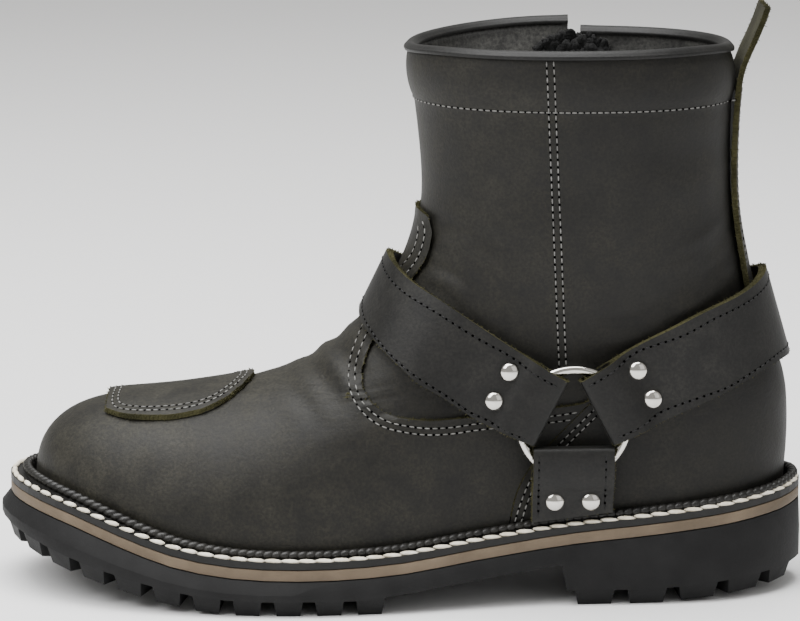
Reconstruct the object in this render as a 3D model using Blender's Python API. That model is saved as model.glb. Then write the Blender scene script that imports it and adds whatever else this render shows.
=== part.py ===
import bpy
import bmesh
import math
import numpy as np

# Left motorcycle boot, toe towards -X, outer side towards -Y, standing on the floor at z = 0.

# Driving sizes, in metres
SOLE_LENGTH = 0.310
BALL_WIDTH = 0.112
UPPER_HEIGHT = 0.175         # welt to the rim of the shaft
SHAFT_BREADTH = 0.098
TOE_SWING = 0.009            # how far the toe leans to the inner side
TOE_SPRING = 0.0213
SEAT_LIFT = 0.0203           # heel seat above the ball
OUTSOLE_BASE = 0.0069
LUG_DEPTH = 0.0063
MIDSOLE_THICKNESS = 0.0046
SOLE_FLARE_TOE = 0.0036      # outsole's foot stands out past its top edge
SOLE_FLARE_HEEL = 0.0006
WELT_THICKNESS = 0.0026
WELT_BEAD_HEIGHT = 0.0030
WELT_BEAD_WIDTH = 0.0030
WELT_MARGIN_TOE = 0.0083     # sole edge to the upper, at the toe
WELT_MARGIN_SIDE = 0.0062
WELT_MARGIN_HEEL = 0.0042
WELT_EASE = 0.0006           # play between the welt's bead and what stands in it
WALL = 0.0022
OVERLAY = 0.0015
INSOLE_THICKNESS = 0.0030
INSOLE_EASE = 0.0010         # play round the insole
GAP = 0.0003
BINDING_WALL = 0.0012
BINDING_DROP = 0.0036        # how far the binding reaches down the shaft
BINDING_CROWN = 0.0022       # height of the roll above the rim
PAD_THICKNESS = 0.0018
BACKSTAY_WIDTH = 0.025
BACKSTAY_THICKNESS = 0.0021
BACKSTAY_SEAT = 0.0013

# Harness
STRAP_THICKNESS = 0.0032
STRAP_END_THICKNESS = 0.0078  # two layers with the ring's wire between them
STRAP_LAYER = 0.0018
STRAP_ANGLE = 27.6           # degrees that the two long straps rise from the ring
STRAP_PEAK = 0.0130          # half width of a long strap at the ring, upper side
STRAP_BASE = 0.0142          # half width of a long strap at the ring, lower side
STRAP_SPREAD = 0.0017        # what each side gains away from the ring
SIDE_STRAP_WIDTH = 0.0305
STRAP_FOLD = 0.0090          # ring centre to the fold of a strap's end
RING_RADIUS = 0.0203
RING_WIRE = 0.00175
RING_PLAY = 0.0010           # clear of the wire, before the thick stretch ends
STRAP_GRIP = RING_RADIUS + RING_WIRE + RING_PLAY  # ring centre to the end of the thick stretch
STRAP_FLAT = STRAP_GRIP + 0.01145  # ring centre to where a strap leaves the ring's plane
RING_TURN = 1.946            # place of the ring's centre on the upper
RING_ROW = 3.44
RIVET_RADIUS = 0.0035
RIVET_HEIGHT = 0.0015
RIVET_REACH = STRAP_GRIP + 0.00725  # ring centre to the rivets
RIVET_HALF_PITCH = 0.0062

# Zip on the inner side
ZIP_X = 0.068
ZIP_SLOT = 0.0050
ZIP_FOOT_ROW = 7.85
ZIP_CHAIN_THICKNESS = 0.0015
SLIDER_ROW = 13.1
SLIDER_WIDTH = 0.0090
SLIDER_LENGTH = 0.0120
SLIDER_THICKNESS = 0.0026
SLIDER_SEAT = 0.0012
PULL_LENGTH = 0.027
PULL_WIDTH = 0.0065
PULL_THICKNESS = 0.0014
PULL_EYE = 0.0018
PULL_BORE = 0.00095
BAIL_BAR = 0.0006

# Tread
TOE_TREAD_RISE = 0.0205      # tip of the tread above the floor
HEEL_TREAD_RISE = 0.0045     # back of the heel's tread above the floor
HEEL_BREAST = 0.702          # front of the heel block, share of the sole's length
BREAST_LEAN = 0.0015
LUG_PITCH = 0.0155
LUG_REACH = 0.024            # sole edge in to a lug's inner end
LUG_TAPER = 0.0020           # each side of a lug, root to foot
LUG_NOTCH = 0.0042           # clear width between two lugs at the root
LUG_SINK = 0.0012            # lug's root inside the base
HEEL_LUG_PITCH = 0.0185
BAR_WIDTH = 0.0085           # middle bars of the tread
BAR_HALF = 0.017

# Counts of facets
AROUND = 36
PLATE_AROUND = 72
RINGS = 19

# Sole outline, a row for each station from the toe tip round the outer side and back:
# along as a share of the sole's length, across as a share of the ball's width
OUTLINE = (
    (0.000, 0.075), (0.012, -0.080), (0.048, -0.235), (0.103, -0.350), (0.177, -0.440),
    (0.274, -0.500), (0.381, -0.513), (0.484, -0.482), (0.597, -0.415), (0.710, -0.370),
    (0.823, -0.350), (0.903, -0.308), (0.965, -0.200), (0.995, -0.070), (1.000, 0.010),
    (0.995, 0.080), (0.965, 0.200), (0.903, 0.302), (0.823, 0.330), (0.710, 0.308),
    (0.597, 0.304), (0.484, 0.362), (0.381, 0.446), (0.274, 0.487), (0.177, 0.473),
    (0.103, 0.424), (0.048, 0.339), (0.012, 0.215),
)

# Rise of the outsole's top above the ball: along, share of the toe spring, share of the seat lift
TOP_LINE = (
    (0.000, 1.000, 0.000), (0.050, 0.920, 0.000), (0.100, 0.760, 0.000), (0.160, 0.480, 0.000),
    (0.220, 0.210, 0.000), (0.290, 0.050, 0.000), (0.370, 0.000, 0.000), (0.440, 0.000, 0.020),
    (0.500, 0.000, 0.080), (0.600, 0.000, 0.290), (0.700, 0.000, 0.500), (0.800, 0.000, 0.660),
    (0.900, 0.000, 0.830), (1.000, 0.000, 1.000),
)

# Sections of the upper, a row from the top of the straight wall in the welt up to the rim.
# Front and back point of each: along, from the upper's own toe and heel, as a share of the sole's
# length; height above that wall as a share of the upper's height. Then the half breadth as a share
# of the shaft's breadth, and how much of the foot's plan the section keeps.
SECTIONS = (
    ("feather", 0.000, 0.000, 0.000, 0.000, 0.360, 1.00),
    ("toe wall", 0.005, 0.045, 0.002, 0.045, 0.370, 1.00),
    ("toe turn", 0.020, 0.095, 0.003, 0.095, 0.380, 1.00),
    ("toe top", 0.055, 0.152, 0.002, 0.150, 0.385, 1.00),
    ("pad", 0.118, 0.211, -0.001, 0.205, 0.390, 1.00),
    ("vamp", 0.206, 0.268, -0.0105, 0.258, 0.390, 0.97),
    ("instep", 0.284, 0.308, -0.023, 0.311, 0.385, 0.88),
    ("waist", 0.359, 0.368, -0.0355, 0.363, 0.380, 0.66),
    ("ankle", 0.4195, 0.462, -0.0455, 0.420, 0.380, 0.36),
    ("throat", 0.4535, 0.549, -0.0540, 0.485, 0.390, 0.12),
    ("shin", 0.4725, 0.630, -0.0630, 0.555, 0.405, 0.00),
    ("lower shaft", 0.479, 0.719, -0.0700, 0.640, 0.425, 0.00),
    ("middle shaft", 0.4765, 0.812, -0.0715, 0.744, 0.450, 0.00),
    ("upper shaft", 0.4695, 0.919, -0.0705, 0.845, 0.475, 0.00),
    ("rim", 0.461, 1.038, -0.0735, 0.955, 0.490, 0.00),
)


def x_of(share):
    return (share - 0.5) * SOLE_LENGTH


def share_of(x):
    return x / SOLE_LENGTH + 0.5


def curve_through(points, count, closed=False):
    # Catmull-Rom curve through hand-set points, returned as evenly spaced points
    pts = [np.array(p, dtype=float) for p in points]
    total = len(pts)
    fine = []
    spans = total if closed else total - 1
    for i in range(spans):
        if closed:
            p0, p1, p2, p3 = (pts[(i + k) % total] for k in (-1, 0, 1, 2))
        else:
            p0, p1, p2, p3 = (pts[min(max(i + k, 0), total - 1)] for k in (-1, 0, 1, 2))
        for step in range(16):
            t = step / 16
            fine.append(0.5 * (2 * p1 + (p2 - p0) * t + (2 * p0 - 5 * p1 + 4 * p2 - p3) * t ** 2
                               + (3 * p1 - p0 - 3 * p2 + p3) * t ** 3))
    fine.append(pts[0] if closed else pts[-1])
    fine = np.array(fine)
    run = np.concatenate(([0.0], np.cumsum(np.linalg.norm(np.diff(fine, axis=0), axis=1))))
    places = np.linspace(0.0, run[-1], count + 1 if closed else count)
    if closed:
        places = places[:-1]
    return np.stack([np.interp(places, run, fine[:, k]) for k in range(fine.shape[1])], axis=1)


def smooth_step(value):
    value = np.clip(value, 0.0, 1.0)
    return value * value * (3.0 - 2.0 * value)


def table_curve(keys, values):
    # Smooth interpolation of a table's column, with slopes from the neighbouring rows
    keys = np.array(keys, dtype=float)
    values = np.array(values, dtype=float)
    slopes = np.gradient(values, keys)

    def read(place):
        place = np.clip(np.asarray(place, dtype=float), keys[0], keys[-1])
        i = np.clip(np.searchsorted(keys, place, side="right") - 1, 0, len(keys) - 2)
        span = keys[i + 1] - keys[i]
        t = (place - keys[i]) / span
        return ((2 * t ** 3 - 3 * t ** 2 + 1) * values[i] + (t ** 3 - 2 * t ** 2 + t) * span * slopes[i]
                + (3 * t ** 2 - 2 * t ** 3) * values[i + 1] + (t ** 3 - t ** 2) * span * slopes[i + 1])
    return read


# Rise of the tread's foot: along, share of the toe's rise, share of the heel's rise
TREAD_LINE = (
    (0.000, 1.000, 0.000), (0.050, 0.790, 0.000), (0.100, 0.570, 0.000), (0.160, 0.350, 0.000),
    (0.220, 0.160, 0.000), (0.270, 0.050, 0.000), (0.320, 0.000, 0.000), (0.500, 0.000, 0.000),
    (0.700, 0.000, 0.000), (0.800, 0.000, 0.000), (0.860, 0.000, 0.250), (0.920, 0.000, 0.600),
    (1.000, 0.000, 1.000),
)

# Heights along the sole
toe_rise = table_curve([row[0] for row in TOP_LINE], [row[1] for row in TOP_LINE])
seat_rise = table_curve([row[0] for row in TOP_LINE], [row[2] for row in TOP_LINE])


tread_toe = table_curve([row[0] for row in TREAD_LINE], [row[1] for row in TREAD_LINE])
tread_heel = table_curve([row[0] for row in TREAD_LINE], [row[2] for row in TREAD_LINE])


def tread(x):
    share = share_of(x)
    return np.maximum(TOE_TREAD_RISE * tread_toe(share) + HEEL_TREAD_RISE * tread_heel(share), 0.0)


def outsole_top(x):
    share = share_of(x)
    return OUTSOLE_BASE + LUG_DEPTH + TOE_SPRING * toe_rise(share) + SEAT_LIFT * seat_rise(share)


def bed(x):
    # Top of the midsole, which the upper, the welt and the insole stand on
    return outsole_top(x) + GAP + MIDSOLE_THICKNESS


# Plan outline of the sole
PLAN = curve_through([(x_of(a), b * BALL_WIDTH) for a, b in OUTLINE], 400, closed=True)


def offset_plan(inset):
    # The sole's plan moved inwards by a distance, which may be a function of x
    ahead = np.roll(PLAN, -1, axis=0) - np.roll(PLAN, 1, axis=0)
    ahead /= np.linalg.norm(ahead, axis=1)[:, None]
    inward = np.stack([-ahead[:, 1], ahead[:, 0]], axis=1)
    amount = inset(PLAN[:, 0]) if callable(inset) else np.full(len(PLAN), float(inset))
    return PLAN + inward * amount[:, None]


class Plan:
    # Outer and inner half of an outline, read by x
    def __init__(self, inset):
        loop = offset_plan(inset)
        toe = int(np.argmin(loop[:, 0]))
        loop = np.roll(loop, -toe, axis=0)
        heel = int(np.argmax(loop[:, 0]))
        self.outer = loop[:heel + 1]
        self.inner = np.concatenate((loop[heel:], loop[:1]))[::-1]
        self.toe = float(loop[0, 0])
        self.heel = float(loop[heel, 0])

    def y_outer(self, x):
        return np.interp(x, self.outer[:, 0], self.outer[:, 1])

    def y_inner(self, x):
        return np.interp(x, self.inner[:, 0], self.inner[:, 1])

    def loop(self, turns):
        # Points at the given turns: 0 at the toe, half a turn at the heel, outer side first
        points = []
        for turn in turns:
            share = (1 - math.cos(turn)) / 2
            x = self.toe + (self.heel - self.toe) * share
            side = self.y_outer if turn <= math.pi else self.y_inner
            points.append((x, float(side(x))))
        return points


WHOLE = Plan(0.0)
PLAN_OUTER = WHOLE.outer
PLAN_INNER = WHOLE.inner
# Moves everything so that the sole's plan is centred on the part's origin
SIDE_SHIFT = -(float(np.min(PLAN[:, 1])) + float(np.max(PLAN[:, 1]))) / 2


def welt_margin(x):
    share = share_of(x)
    toe = 1 - smooth_step((share - 0.02) / 0.30)
    heel = smooth_step((share - 0.62) / 0.36)
    return (WELT_MARGIN_SIDE + (WELT_MARGIN_TOE - WELT_MARGIN_SIDE) * toe
            + (WELT_MARGIN_HEEL - WELT_MARGIN_SIDE) * heel)


def sole_flare(x):
    return SOLE_FLARE_TOE + (SOLE_FLARE_HEEL - SOLE_FLARE_TOE) * smooth_step(share_of(x))


def welt_inner_margin(x):
    return sole_flare(x) + welt_margin(x)


def upper_margin(x):
    # The upper stands inside the welt, with room for the vamp and the counter
    return welt_inner_margin(x) + 2 * GAP + OVERLAY + WELT_EASE


FOOT = Plan(upper_margin)
WALL_TOP = WELT_THICKNESS + WELT_BEAD_HEIGHT + 2 * GAP


def column(number):
    return [row[number] for row in SECTIONS]


ROWS = np.arange(len(SECTIONS), dtype=float)
front_along = table_curve(ROWS, column(1))
front_height = table_curve(ROWS, column(2))
back_along = table_curve(ROWS, column(3))
back_height = table_curve(ROWS, column(4))
half_breadth = table_curve(ROWS, column(5))
foot_share = table_curve(ROWS, column(6))
LAST_ROW = float(ROWS[-1])


def front_point(row):
    x = FOOT.toe + front_along(row) * SOLE_LENGTH
    return x, bed(x) + WALL_TOP + front_height(row) * UPPER_HEIGHT


def back_point(row):
    x = FOOT.heel + back_along(row) * SOLE_LENGTH
    return x, bed(x) + WALL_TOP + back_height(row) * UPPER_HEIGHT


# Front profile of the foot as a height for each x, carried on upwards behind the throat
PROFILE_ROWS = np.linspace(0.0, 9.0, 4001)
PROFILE_X, PROFILE_Z = front_point(PROFILE_ROWS)
THROAT_SLOPE = (PROFILE_Z[-1] - PROFILE_Z[-400]) / (PROFILE_X[-1] - PROFILE_X[-400])


def foot_top(x):
    inside = np.interp(x, PROFILE_X, PROFILE_Z)
    return np.where(x > PROFILE_X[-1], PROFILE_Z[-1] + (x - PROFILE_X[-1]) * THROAT_SLOPE, inside)


def ridge_at(x):
    # Line of the foot's ridge, which leans to the inner side at the toe
    return TOE_SWING * smooth_step((0.55 - share_of(x)) / 0.55)


def skin(turn, row):
    # Outer face of the upper: turn round the leg from the front, row of the sections table.
    # Rows below 0 are the straight wall that stands inside the welt.
    turn = np.asarray(turn, dtype=float)
    row = np.asarray(row, dtype=float)
    turn, row = np.broadcast_arrays(turn, row)
    side = np.where(np.mod(turn, 2 * math.pi) <= math.pi, -1.0, 1.0)
    share = (1 - np.cos(turn)) / 2
    held = np.clip(row, 0.0, LAST_ROW)
    front_x, front_z = front_point(held)
    back_x, back_z = back_point(held)
    x = front_x + (back_x - front_x) * share
    chord = front_z + (back_z - front_z) * share
    bed_front, bed_back = bed(front_x), bed(back_x)
    follow = 1 - smooth_step(held / 5.0)
    z = chord + (bed(x) - (bed_front + (bed_back - bed_front) * share)) * follow
    low = bed(x) + WALL_TOP
    rise = np.clip((z - low) / np.maximum(foot_top(x) - low, 1e-6), 0.0, 1.0)
    dome = (1 - rise ** 2.4) ** (1 / 2.0)
    # The plan is stretched so that its ends follow the profiles of toe and heel
    toe_zone, heel_zone = x_of(0.25), x_of(0.80)
    plan_x = np.where(x > heel_zone, heel_zone + (x - heel_zone) * (FOOT.heel - heel_zone)
                      / np.maximum(back_x - heel_zone, 1e-6), x)
    plan_x = np.where(x < toe_zone, np.maximum(plan_x, FOOT.toe), plan_x)
    ridge = ridge_at(x)
    outer = ridge - FOOT.y_outer(plan_x)
    inner = FOOT.y_inner(plan_x) - ridge
    foot_half = np.where(side < 0, outer, inner) * dome
    oval = (1 - np.abs(2 * share - 1) ** 2.25) ** (1 / 2.1)
    shaft_half = half_breadth(held) * SHAFT_BREADTH * oval
    keep = foot_share(held)
    y = ridge * keep + side * (foot_half * keep + shaft_half * (1 - keep))
    z = np.where(row < 0, bed(x) + GAP + (1 + row) * (z - bed(x) - GAP), z)
    return np.stack([x, y, z], axis=-1)


def skin_normal(turn, row):
    step = 1e-3
    across = skin(turn + step, row) - skin(turn - step, row)
    up = skin(turn, np.minimum(row + step, LAST_ROW)) - skin(turn, np.asarray(row) - step)
    normal = np.cross(across, up)
    length = np.linalg.norm(normal, axis=-1, keepdims=True)
    return normal / np.maximum(length, 1e-12)


def form(turn, row, offset):
    return skin(turn, row) + skin_normal(turn, row) * offset


# Mesh helpers

def clear_scene():
    for thing in list(bpy.data.objects):
        bpy.data.objects.remove(thing, do_unlink=True)


def material(name, color, roughness, metallic=0.0):
    made = bpy.data.materials.new(name)
    made.use_nodes = True
    shader = made.node_tree.nodes["Principled BSDF"]
    shader.inputs["Base Color"].default_value = (*color, 1.0)
    shader.inputs["Roughness"].default_value = roughness
    shader.inputs["Metallic"].default_value = metallic
    return made


def add_object(name, points, faces, look, smooth=True, origin=(0.0, 0.0, 0.0)):
    mesh = bpy.data.meshes.new(name)
    mesh.from_pydata([tuple(map(float, p)) for p in points], [], faces)
    work = bmesh.new()
    work.from_mesh(mesh)
    bmesh.ops.recalc_face_normals(work, faces=work.faces[:])
    work.to_mesh(mesh)
    work.free()
    if smooth:
        mesh.shade_smooth()
        mesh.set_sharp_from_angle(angle=math.radians(40))
    if look:
        mesh.materials.append(look)
    thing = bpy.data.objects.new(name, mesh)
    thing.location = (origin[0], origin[1] + SIDE_SHIFT, origin[2])
    bpy.context.scene.collection.objects.link(thing)
    return thing


def ring_faces(loops, count):
    # Faces between closed loops of one size, joined in turn and back to the first
    faces = []
    for i in range(loops):
        low, high = i * count, ((i + 1) % loops) * count
        for k in range(count):
            nxt = (k + 1) % count
            faces.append((low + k, low + nxt, high + nxt))
            faces.append((low + k, high + nxt, high + k))
    return faces


def cap_faces(start, count):
    # Flat strips across a loop that runs from the toe to the heel and back
    half = count // 2
    faces = [(start, start + 1, start + count - 1)]
    for k in range(1, half - 1):
        faces.append((start + k, start + k + 1, start + count - k - 1))
        faces.append((start + k, start + count - k - 1, start + count - k))
    faces.append((start + half - 1, start + half, start + half + 1))
    return faces


def plate_faces(loops, count):
    faces = []
    for i in range(loops - 1):
        for k in range(count):
            nxt = (k + 1) % count
            a, b, c, d = i * count + k, i * count + nxt, (i + 1) * count + nxt, (i + 1) * count + k
            faces.append((a, b, c))
            faces.append((a, c, d))
    return faces + cap_faces(0, count) + cap_faces((loops - 1) * count, count)


def even_turns(count):
    return [2 * math.pi * k / count for k in range(count)]


def lift(loop, height):
    return [(x, y, float(height(x))) for x, y in loop]


# Sole

def base_foot(x):
    # Underside of the outsole's base, between the lugs
    share = share_of(x)
    lug_root = tread(x) + LUG_DEPTH
    shank = outsole_top(x) - OUTSOLE_BASE
    heel = share >= HEEL_BREAST
    return np.where(heel, lug_root, np.where(share < 0.5, np.minimum(lug_root, shank), shank))


def arc_points(loop, places):
    # Points and unit inward normals at distances along an open line
    loop = np.array(loop)
    run = np.concatenate(([0.0], np.cumsum(np.linalg.norm(np.diff(loop, axis=0), axis=1))))
    xs = np.interp(places, run, loop[:, 0])
    ys = np.interp(places, run, loop[:, 1])
    return np.stack([xs, ys], axis=1)


def lug_solid(ring, height_root, height_foot):
    # Tapered block from a four-cornered plan: root corners, then foot corners
    root = [(x, y, height_root(x)) for x, y in ring]
    centre = np.mean(ring, axis=0)
    foot = []
    for x, y in ring:
        pull = np.array([x, y]) - centre
        reach = np.linalg.norm(pull)
        pull = pull / reach * max(reach - LUG_TAPER * 1.4, reach * 0.5)
        foot.append((centre[0] + pull[0], centre[1] + pull[1], height_foot(centre[0] + pull[0])))
    points = root + foot
    faces = [(0, 1, 2), (0, 2, 3), (4, 6, 5), (4, 7, 6)]
    for k in range(4):
        nxt = (k + 1) % 4
        faces += [(k, k + 4, nxt + 4), (k, nxt + 4, nxt)]
    return points, faces


def edge_lugs(side, start, stop, pitch):
    # Lugs along one edge of the sole between two shares of its length
    line = PLAN_OUTER if side < 0 else PLAN_INNER
    run = np.concatenate(([0.0], np.cumsum(np.linalg.norm(np.diff(line, axis=0), axis=1))))
    first = float(np.interp(x_of(start), line[:, 0], run))
    last = float(np.interp(x_of(stop), line[:, 0], run))
    count = max(1, round((last - first) / pitch))
    step = (last - first) / count
    rings = []
    for k in range(count):
        near = arc_points(line, [first + k * step + LUG_NOTCH / 2, first + (k + 1) * step - LUG_NOTCH / 2])
        middle = arc_points(line, [first + (k + 0.5) * step])[0]
        ahead = near[1] - near[0]
        ahead /= np.linalg.norm(ahead)
        inward = np.array([-ahead[1], ahead[0]]) * (1 if side < 0 else -1)
        reach = min(LUG_REACH, abs(middle[1] - sole_middle(middle[0])) - BAR_HALF * 0.25)
        edge = [point + inward * LUG_TAPER * 0.4 for point in near]
        inset = ahead * LUG_NOTCH * 0.5
        deep = [near[0] + inward * reach + inset, near[1] + inward * reach - inset]
        rings.append([edge[0], edge[1], deep[1], deep[0]])
    return rings


def sole_middle(x):
    return float((WHOLE.y_outer(x) + WHOLE.y_inner(x)) / 2)


def bar_lugs(start, stop, pitch):
    # Cross bars down the middle of the tread
    rings = []
    count = max(1, round((x_of(stop) - x_of(start)) / pitch))
    step = (x_of(stop) - x_of(start)) / count
    for k in range(count):
        x = x_of(start) + (k + 0.5) * step
        middle = sole_middle(x)
        half = min(BAR_HALF, (float(WHOLE.y_inner(x)) - middle) - LUG_REACH - LUG_NOTCH)
        if half > BAR_WIDTH / 2:
            rings.append([(x - BAR_WIDTH / 2, middle - half), (x + BAR_WIDTH / 2, middle - half),
                          (x + BAR_WIDTH / 2, middle + half), (x - BAR_WIDTH / 2, middle + half)])
    return rings


def make_outsole(look):
    breast = math.acos(1 - 2 * (x_of(HEEL_BREAST) - WHOLE.toe) / (WHOLE.heel - WHOLE.toe))
    lean = BREAST_LEAN / ((WHOLE.heel - WHOLE.toe) / 2 * math.sin(breast))
    turns = sorted([t for t in even_turns(PLATE_AROUND) if abs(math.cos(t) - math.cos(breast)) > 0.05]
                   + [breast - lean, breast + lean / 4, 2 * math.pi - breast - lean / 4,
                      2 * math.pi - breast + lean])
    count = len(turns)
    top = lift(Plan(sole_flare).loop(turns), outsole_top)
    edge = WHOLE.loop(turns)
    knee = lift(edge, lambda x: (outsole_top(x) + base_foot(x)) / 2 - 0.001)
    foot = lift(edge, base_foot)
    body = add_object("outsole", top + knee + foot, plate_faces(3, count), look)
    points = []
    faces = []
    rings = (edge_lugs(-1, 0.006, 0.490, LUG_PITCH) + edge_lugs(1, 0.006, 0.490, LUG_PITCH)
             + edge_lugs(-1, HEEL_BREAST + 0.004, 0.992, HEEL_LUG_PITCH)
             + edge_lugs(1, HEEL_BREAST + 0.004, 0.992, HEEL_LUG_PITCH)
             + bar_lugs(0.12, 0.47, LUG_PITCH) + bar_lugs(0.73, 0.90, HEEL_LUG_PITCH))
    for ring in rings:
        block, sides = lug_solid(ring, lambda x: float(base_foot(x)) + LUG_SINK, lambda x: float(tread(x)))
        faces += [tuple(i + len(points) for i in face) for face in sides]
        points += block
    lugs = add_object("lug_cutter", points, faces, look)
    join(body, lugs, "UNION")
    body.modifiers[-1].use_self = True  # lugs may touch one another
    return body


def join(target, tool, operation):
    # Exact Boolean that stays on the target; the tool is only a guide
    cut = target.modifiers.new(operation.lower(), "BOOLEAN")
    cut.operation = operation
    cut.object = tool
    cut.solver = "EXACT"
    tool.hide_render = True
    tool.hide_set(True)
    tool.display_type = "WIRE"


def make_midsole(look):
    loop = Plan(sole_flare).loop(even_turns(PLATE_AROUND))
    low = lift(loop, lambda x: outsole_top(x) + GAP)
    high = lift(loop, lambda x: bed(x) - GAP)
    return add_object("midsole", low + high, plate_faces(2, PLATE_AROUND), look)


def make_insole(look):
    loop = Plan(lambda x: upper_margin(x) + WALL + INSOLE_EASE).loop(even_turns(PLATE_AROUND))
    low = lift(loop, bed)
    high = lift(loop, lambda x: bed(x) + INSOLE_THICKNESS)
    return add_object("insole", low + high, plate_faces(2, PLATE_AROUND), look)


def make_welt(look):
    # Section of the welt: share of the way from the sole's edge in to the upper, then height
    turns = even_turns(PLATE_AROUND)
    edge = Plan(sole_flare).loop(turns)
    inner = Plan(welt_inner_margin).loop(turns)
    bead = Plan(lambda x: welt_inner_margin(x) - WELT_BEAD_WIDTH).loop(turns)
    crown = Plan(lambda x: welt_inner_margin(x) - WELT_BEAD_WIDTH / 2).loop(turns)
    top = WELT_THICKNESS
    loops = (lift(edge, bed), lift(edge, lambda x: bed(x) + top),
             lift(bead, lambda x: bed(x) + top),
             lift(crown, lambda x: bed(x) + top + WELT_BEAD_HEIGHT),
             lift(inner, lambda x: bed(x) + top + WELT_BEAD_HEIGHT * 0.7), lift(inner, bed))
    points = [p for loop in loops for p in loop]
    return add_object("welt", points, ring_faces(len(loops), PLATE_AROUND), look)


def make_upper(look):
    turns = np.array(even_turns(AROUND))
    rows = [-1.0] + list(np.linspace(0.0, LAST_ROW, RINGS + 1))
    outer = [form(turns, row, 0.0) for row in rows]
    inner = [form(turns, row, -WALL) for row in rows]
    loops = outer + inner[::-1]
    points = [p for loop in loops for p in loop]
    body = add_object("upper", points, ring_faces(len(loops), AROUND), look)
    join(body, zip_cutter("slot_cutter"), "DIFFERENCE")
    return body


# Edges of the overlays in side view: along as a share of the sole's length, height above the
# straight wall as a share of the upper's height
VAMP_EDGE = (
    (0.518, 0.690), (0.531, 0.684), (0.539, 0.649), (0.530, 0.582), (0.506, 0.525), (0.484, 0.471),
    (0.464, 0.413), (0.454, 0.361), (0.459, 0.318), (0.482, 0.280), (0.525, 0.256), (0.561, 0.248),
    (0.594, 0.245), (0.685, 0.236), (0.724, 0.236),
)
COUNTER_EDGE = ((0.740, 0.250), (0.688, 0.167), (0.657, 0.110), (0.640, 0.048), (0.629, -0.060))
COUNTER_TOP = ((0.790, 0.261), (0.835, 0.286), (0.872, 0.313), (0.915, 0.331), (1.030, 0.345))
OVERLAY_SPLIT = 0.0014       # share of the sole's length between vamp and counter

# Plan of the toe pad, front to rear: along as a share of the sole's length, half width as a share
# of the ball's width
PAD_OUTLINE = (
    (0.137, 0.160), (0.160, 0.207), (0.192, 0.228), (0.232, 0.234), (0.268, 0.218), (0.294, 0.165),
    (0.313, 0.075), (0.318, 0.000),
)

# Long straps from the front or the back towards the ring: turn and row of the lower edge, turn and
# row of the upper edge, and how far each edge stands off
INSTEP_STRAP = (
    (0.000, 7.95, 0.000, 9.30, 0.0000, 0.0030), (0.400, 7.66, 0.270, 9.12, 0.0000, 0.0022),
    (0.650, 7.36, 0.541, 8.84, 0.0000, 0.0012), (0.977, 6.70, 0.855, 8.44, 0.0000, 0.0003),
    (1.370, 5.25, 1.169, 7.82, 0.0000, 0.0000),
)
HEEL_STRAP = (
    (3.142, 4.96, 3.142, 8.60, 0.0008, 0.0030), (2.897, 5.02, 2.906, 8.40, 0.0006, 0.0024),
    (2.749, 4.94, 2.592, 8.08, 0.0004, 0.0014), (2.574, 4.58, 2.347, 7.80, 0.0002, 0.0006),
    (2.426, 4.05, 2.164, 7.38, 0.0002, 0.0002),
)

# Free end of the pull tab: along as a share of the sole's length, height as above
PULL_TAB = ((0.9155, 0.884), (0.9210, 0.922), (0.9290, 0.958), (0.9370, 0.996), (0.9430, 1.034))


def side_view(along, height):
    x = x_of(along)
    return x, float(bed(x)) + WALL_TOP + height * UPPER_HEIGHT


def grid_rows(top):
    # Rows of the upper's own facets, so that an overlay stays parallel to it
    step = LAST_ROW / RINGS
    return [-1.0] + [k * step for k in range(int(math.ceil(top / step)) + 1)]


def shell(name, turns, rows, inside, thickness, look):
    # Closed patch that follows the upper between two offsets
    across, along = len(turns), len(rows)
    turns = np.array(turns)
    near = [form(turns, row, inside) for row in rows]
    far = [form(turns, row, inside + thickness) for row in rows]
    points = [p for line in near + far for p in line]
    shift = across * along
    faces = []
    for i in range(along - 1):
        for k in range(across - 1):
            a, b, c, d = i * across + k, i * across + k + 1, (i + 1) * across + k + 1, (i + 1) * across + k
            faces += [(a, b, c), (a, c, d), (shift + a, shift + c, shift + b),
                      (shift + a, shift + d, shift + c)]
    rim = ([k for k in range(across)] + [i * across + across - 1 for i in range(1, along)]
           + [(along - 1) * across + k for k in range(across - 2, -1, -1)]
           + [i * across for i in range(along - 2, 0, -1)])
    for k, here in enumerate(rim):
        there = rim[(k + 1) % len(rim)]
        faces += [(here, shift + here, shift + there), (here, shift + there, there)]
    return add_object(name, points, faces, look)


def prism(name, outline, low, high, upright=False):
    # Guide solid: a side-view outline carried across the boot, or a plan outline carried up
    count = len(outline)
    if upright:
        points = [(a, b, z) for z in (low, high) for a, b in outline]
    else:
        points = [(a, y, b) for y in (low, high) for a, b in outline]
    faces = [tuple(range(count)), tuple(range(2 * count - 1, count - 1, -1))]
    for k in range(count):
        nxt = (k + 1) % count
        faces.append((k, k + count, nxt + count, nxt))
    return add_object(name, points, faces, None)


def smooth_edge(table, steps=3):
    line = curve_through([side_view(*row) for row in table], (len(table) - 1) * steps + 1)
    return [(float(x), float(z)) for x, z in line]


def turn_steps(first, last):
    step = 2 * math.pi / AROUND
    return [step * k for k in range(math.floor(first / step), math.ceil(last / step) + 1)]


def make_vamp(look):
    body = shell("vamp", turn_steps(-2.3, 2.3), grid_rows(11.3), GAP, OVERLAY, look)
    split = OVERLAY_SPLIT * SOLE_LENGTH
    rear = [(x - split, z) for x, z in smooth_edge(COUNTER_EDGE)]
    front = x_of(-0.1)
    edge = smooth_edge(VAMP_EDGE, 2)
    outline = [(front, edge[0][1])] + edge + rear + [(rear[-1][0], -0.02), (front, -0.02)]
    join(body, prism("vamp_cutter", outline, -BALL_WIDTH, BALL_WIDTH), "INTERSECT")
    return body


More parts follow.
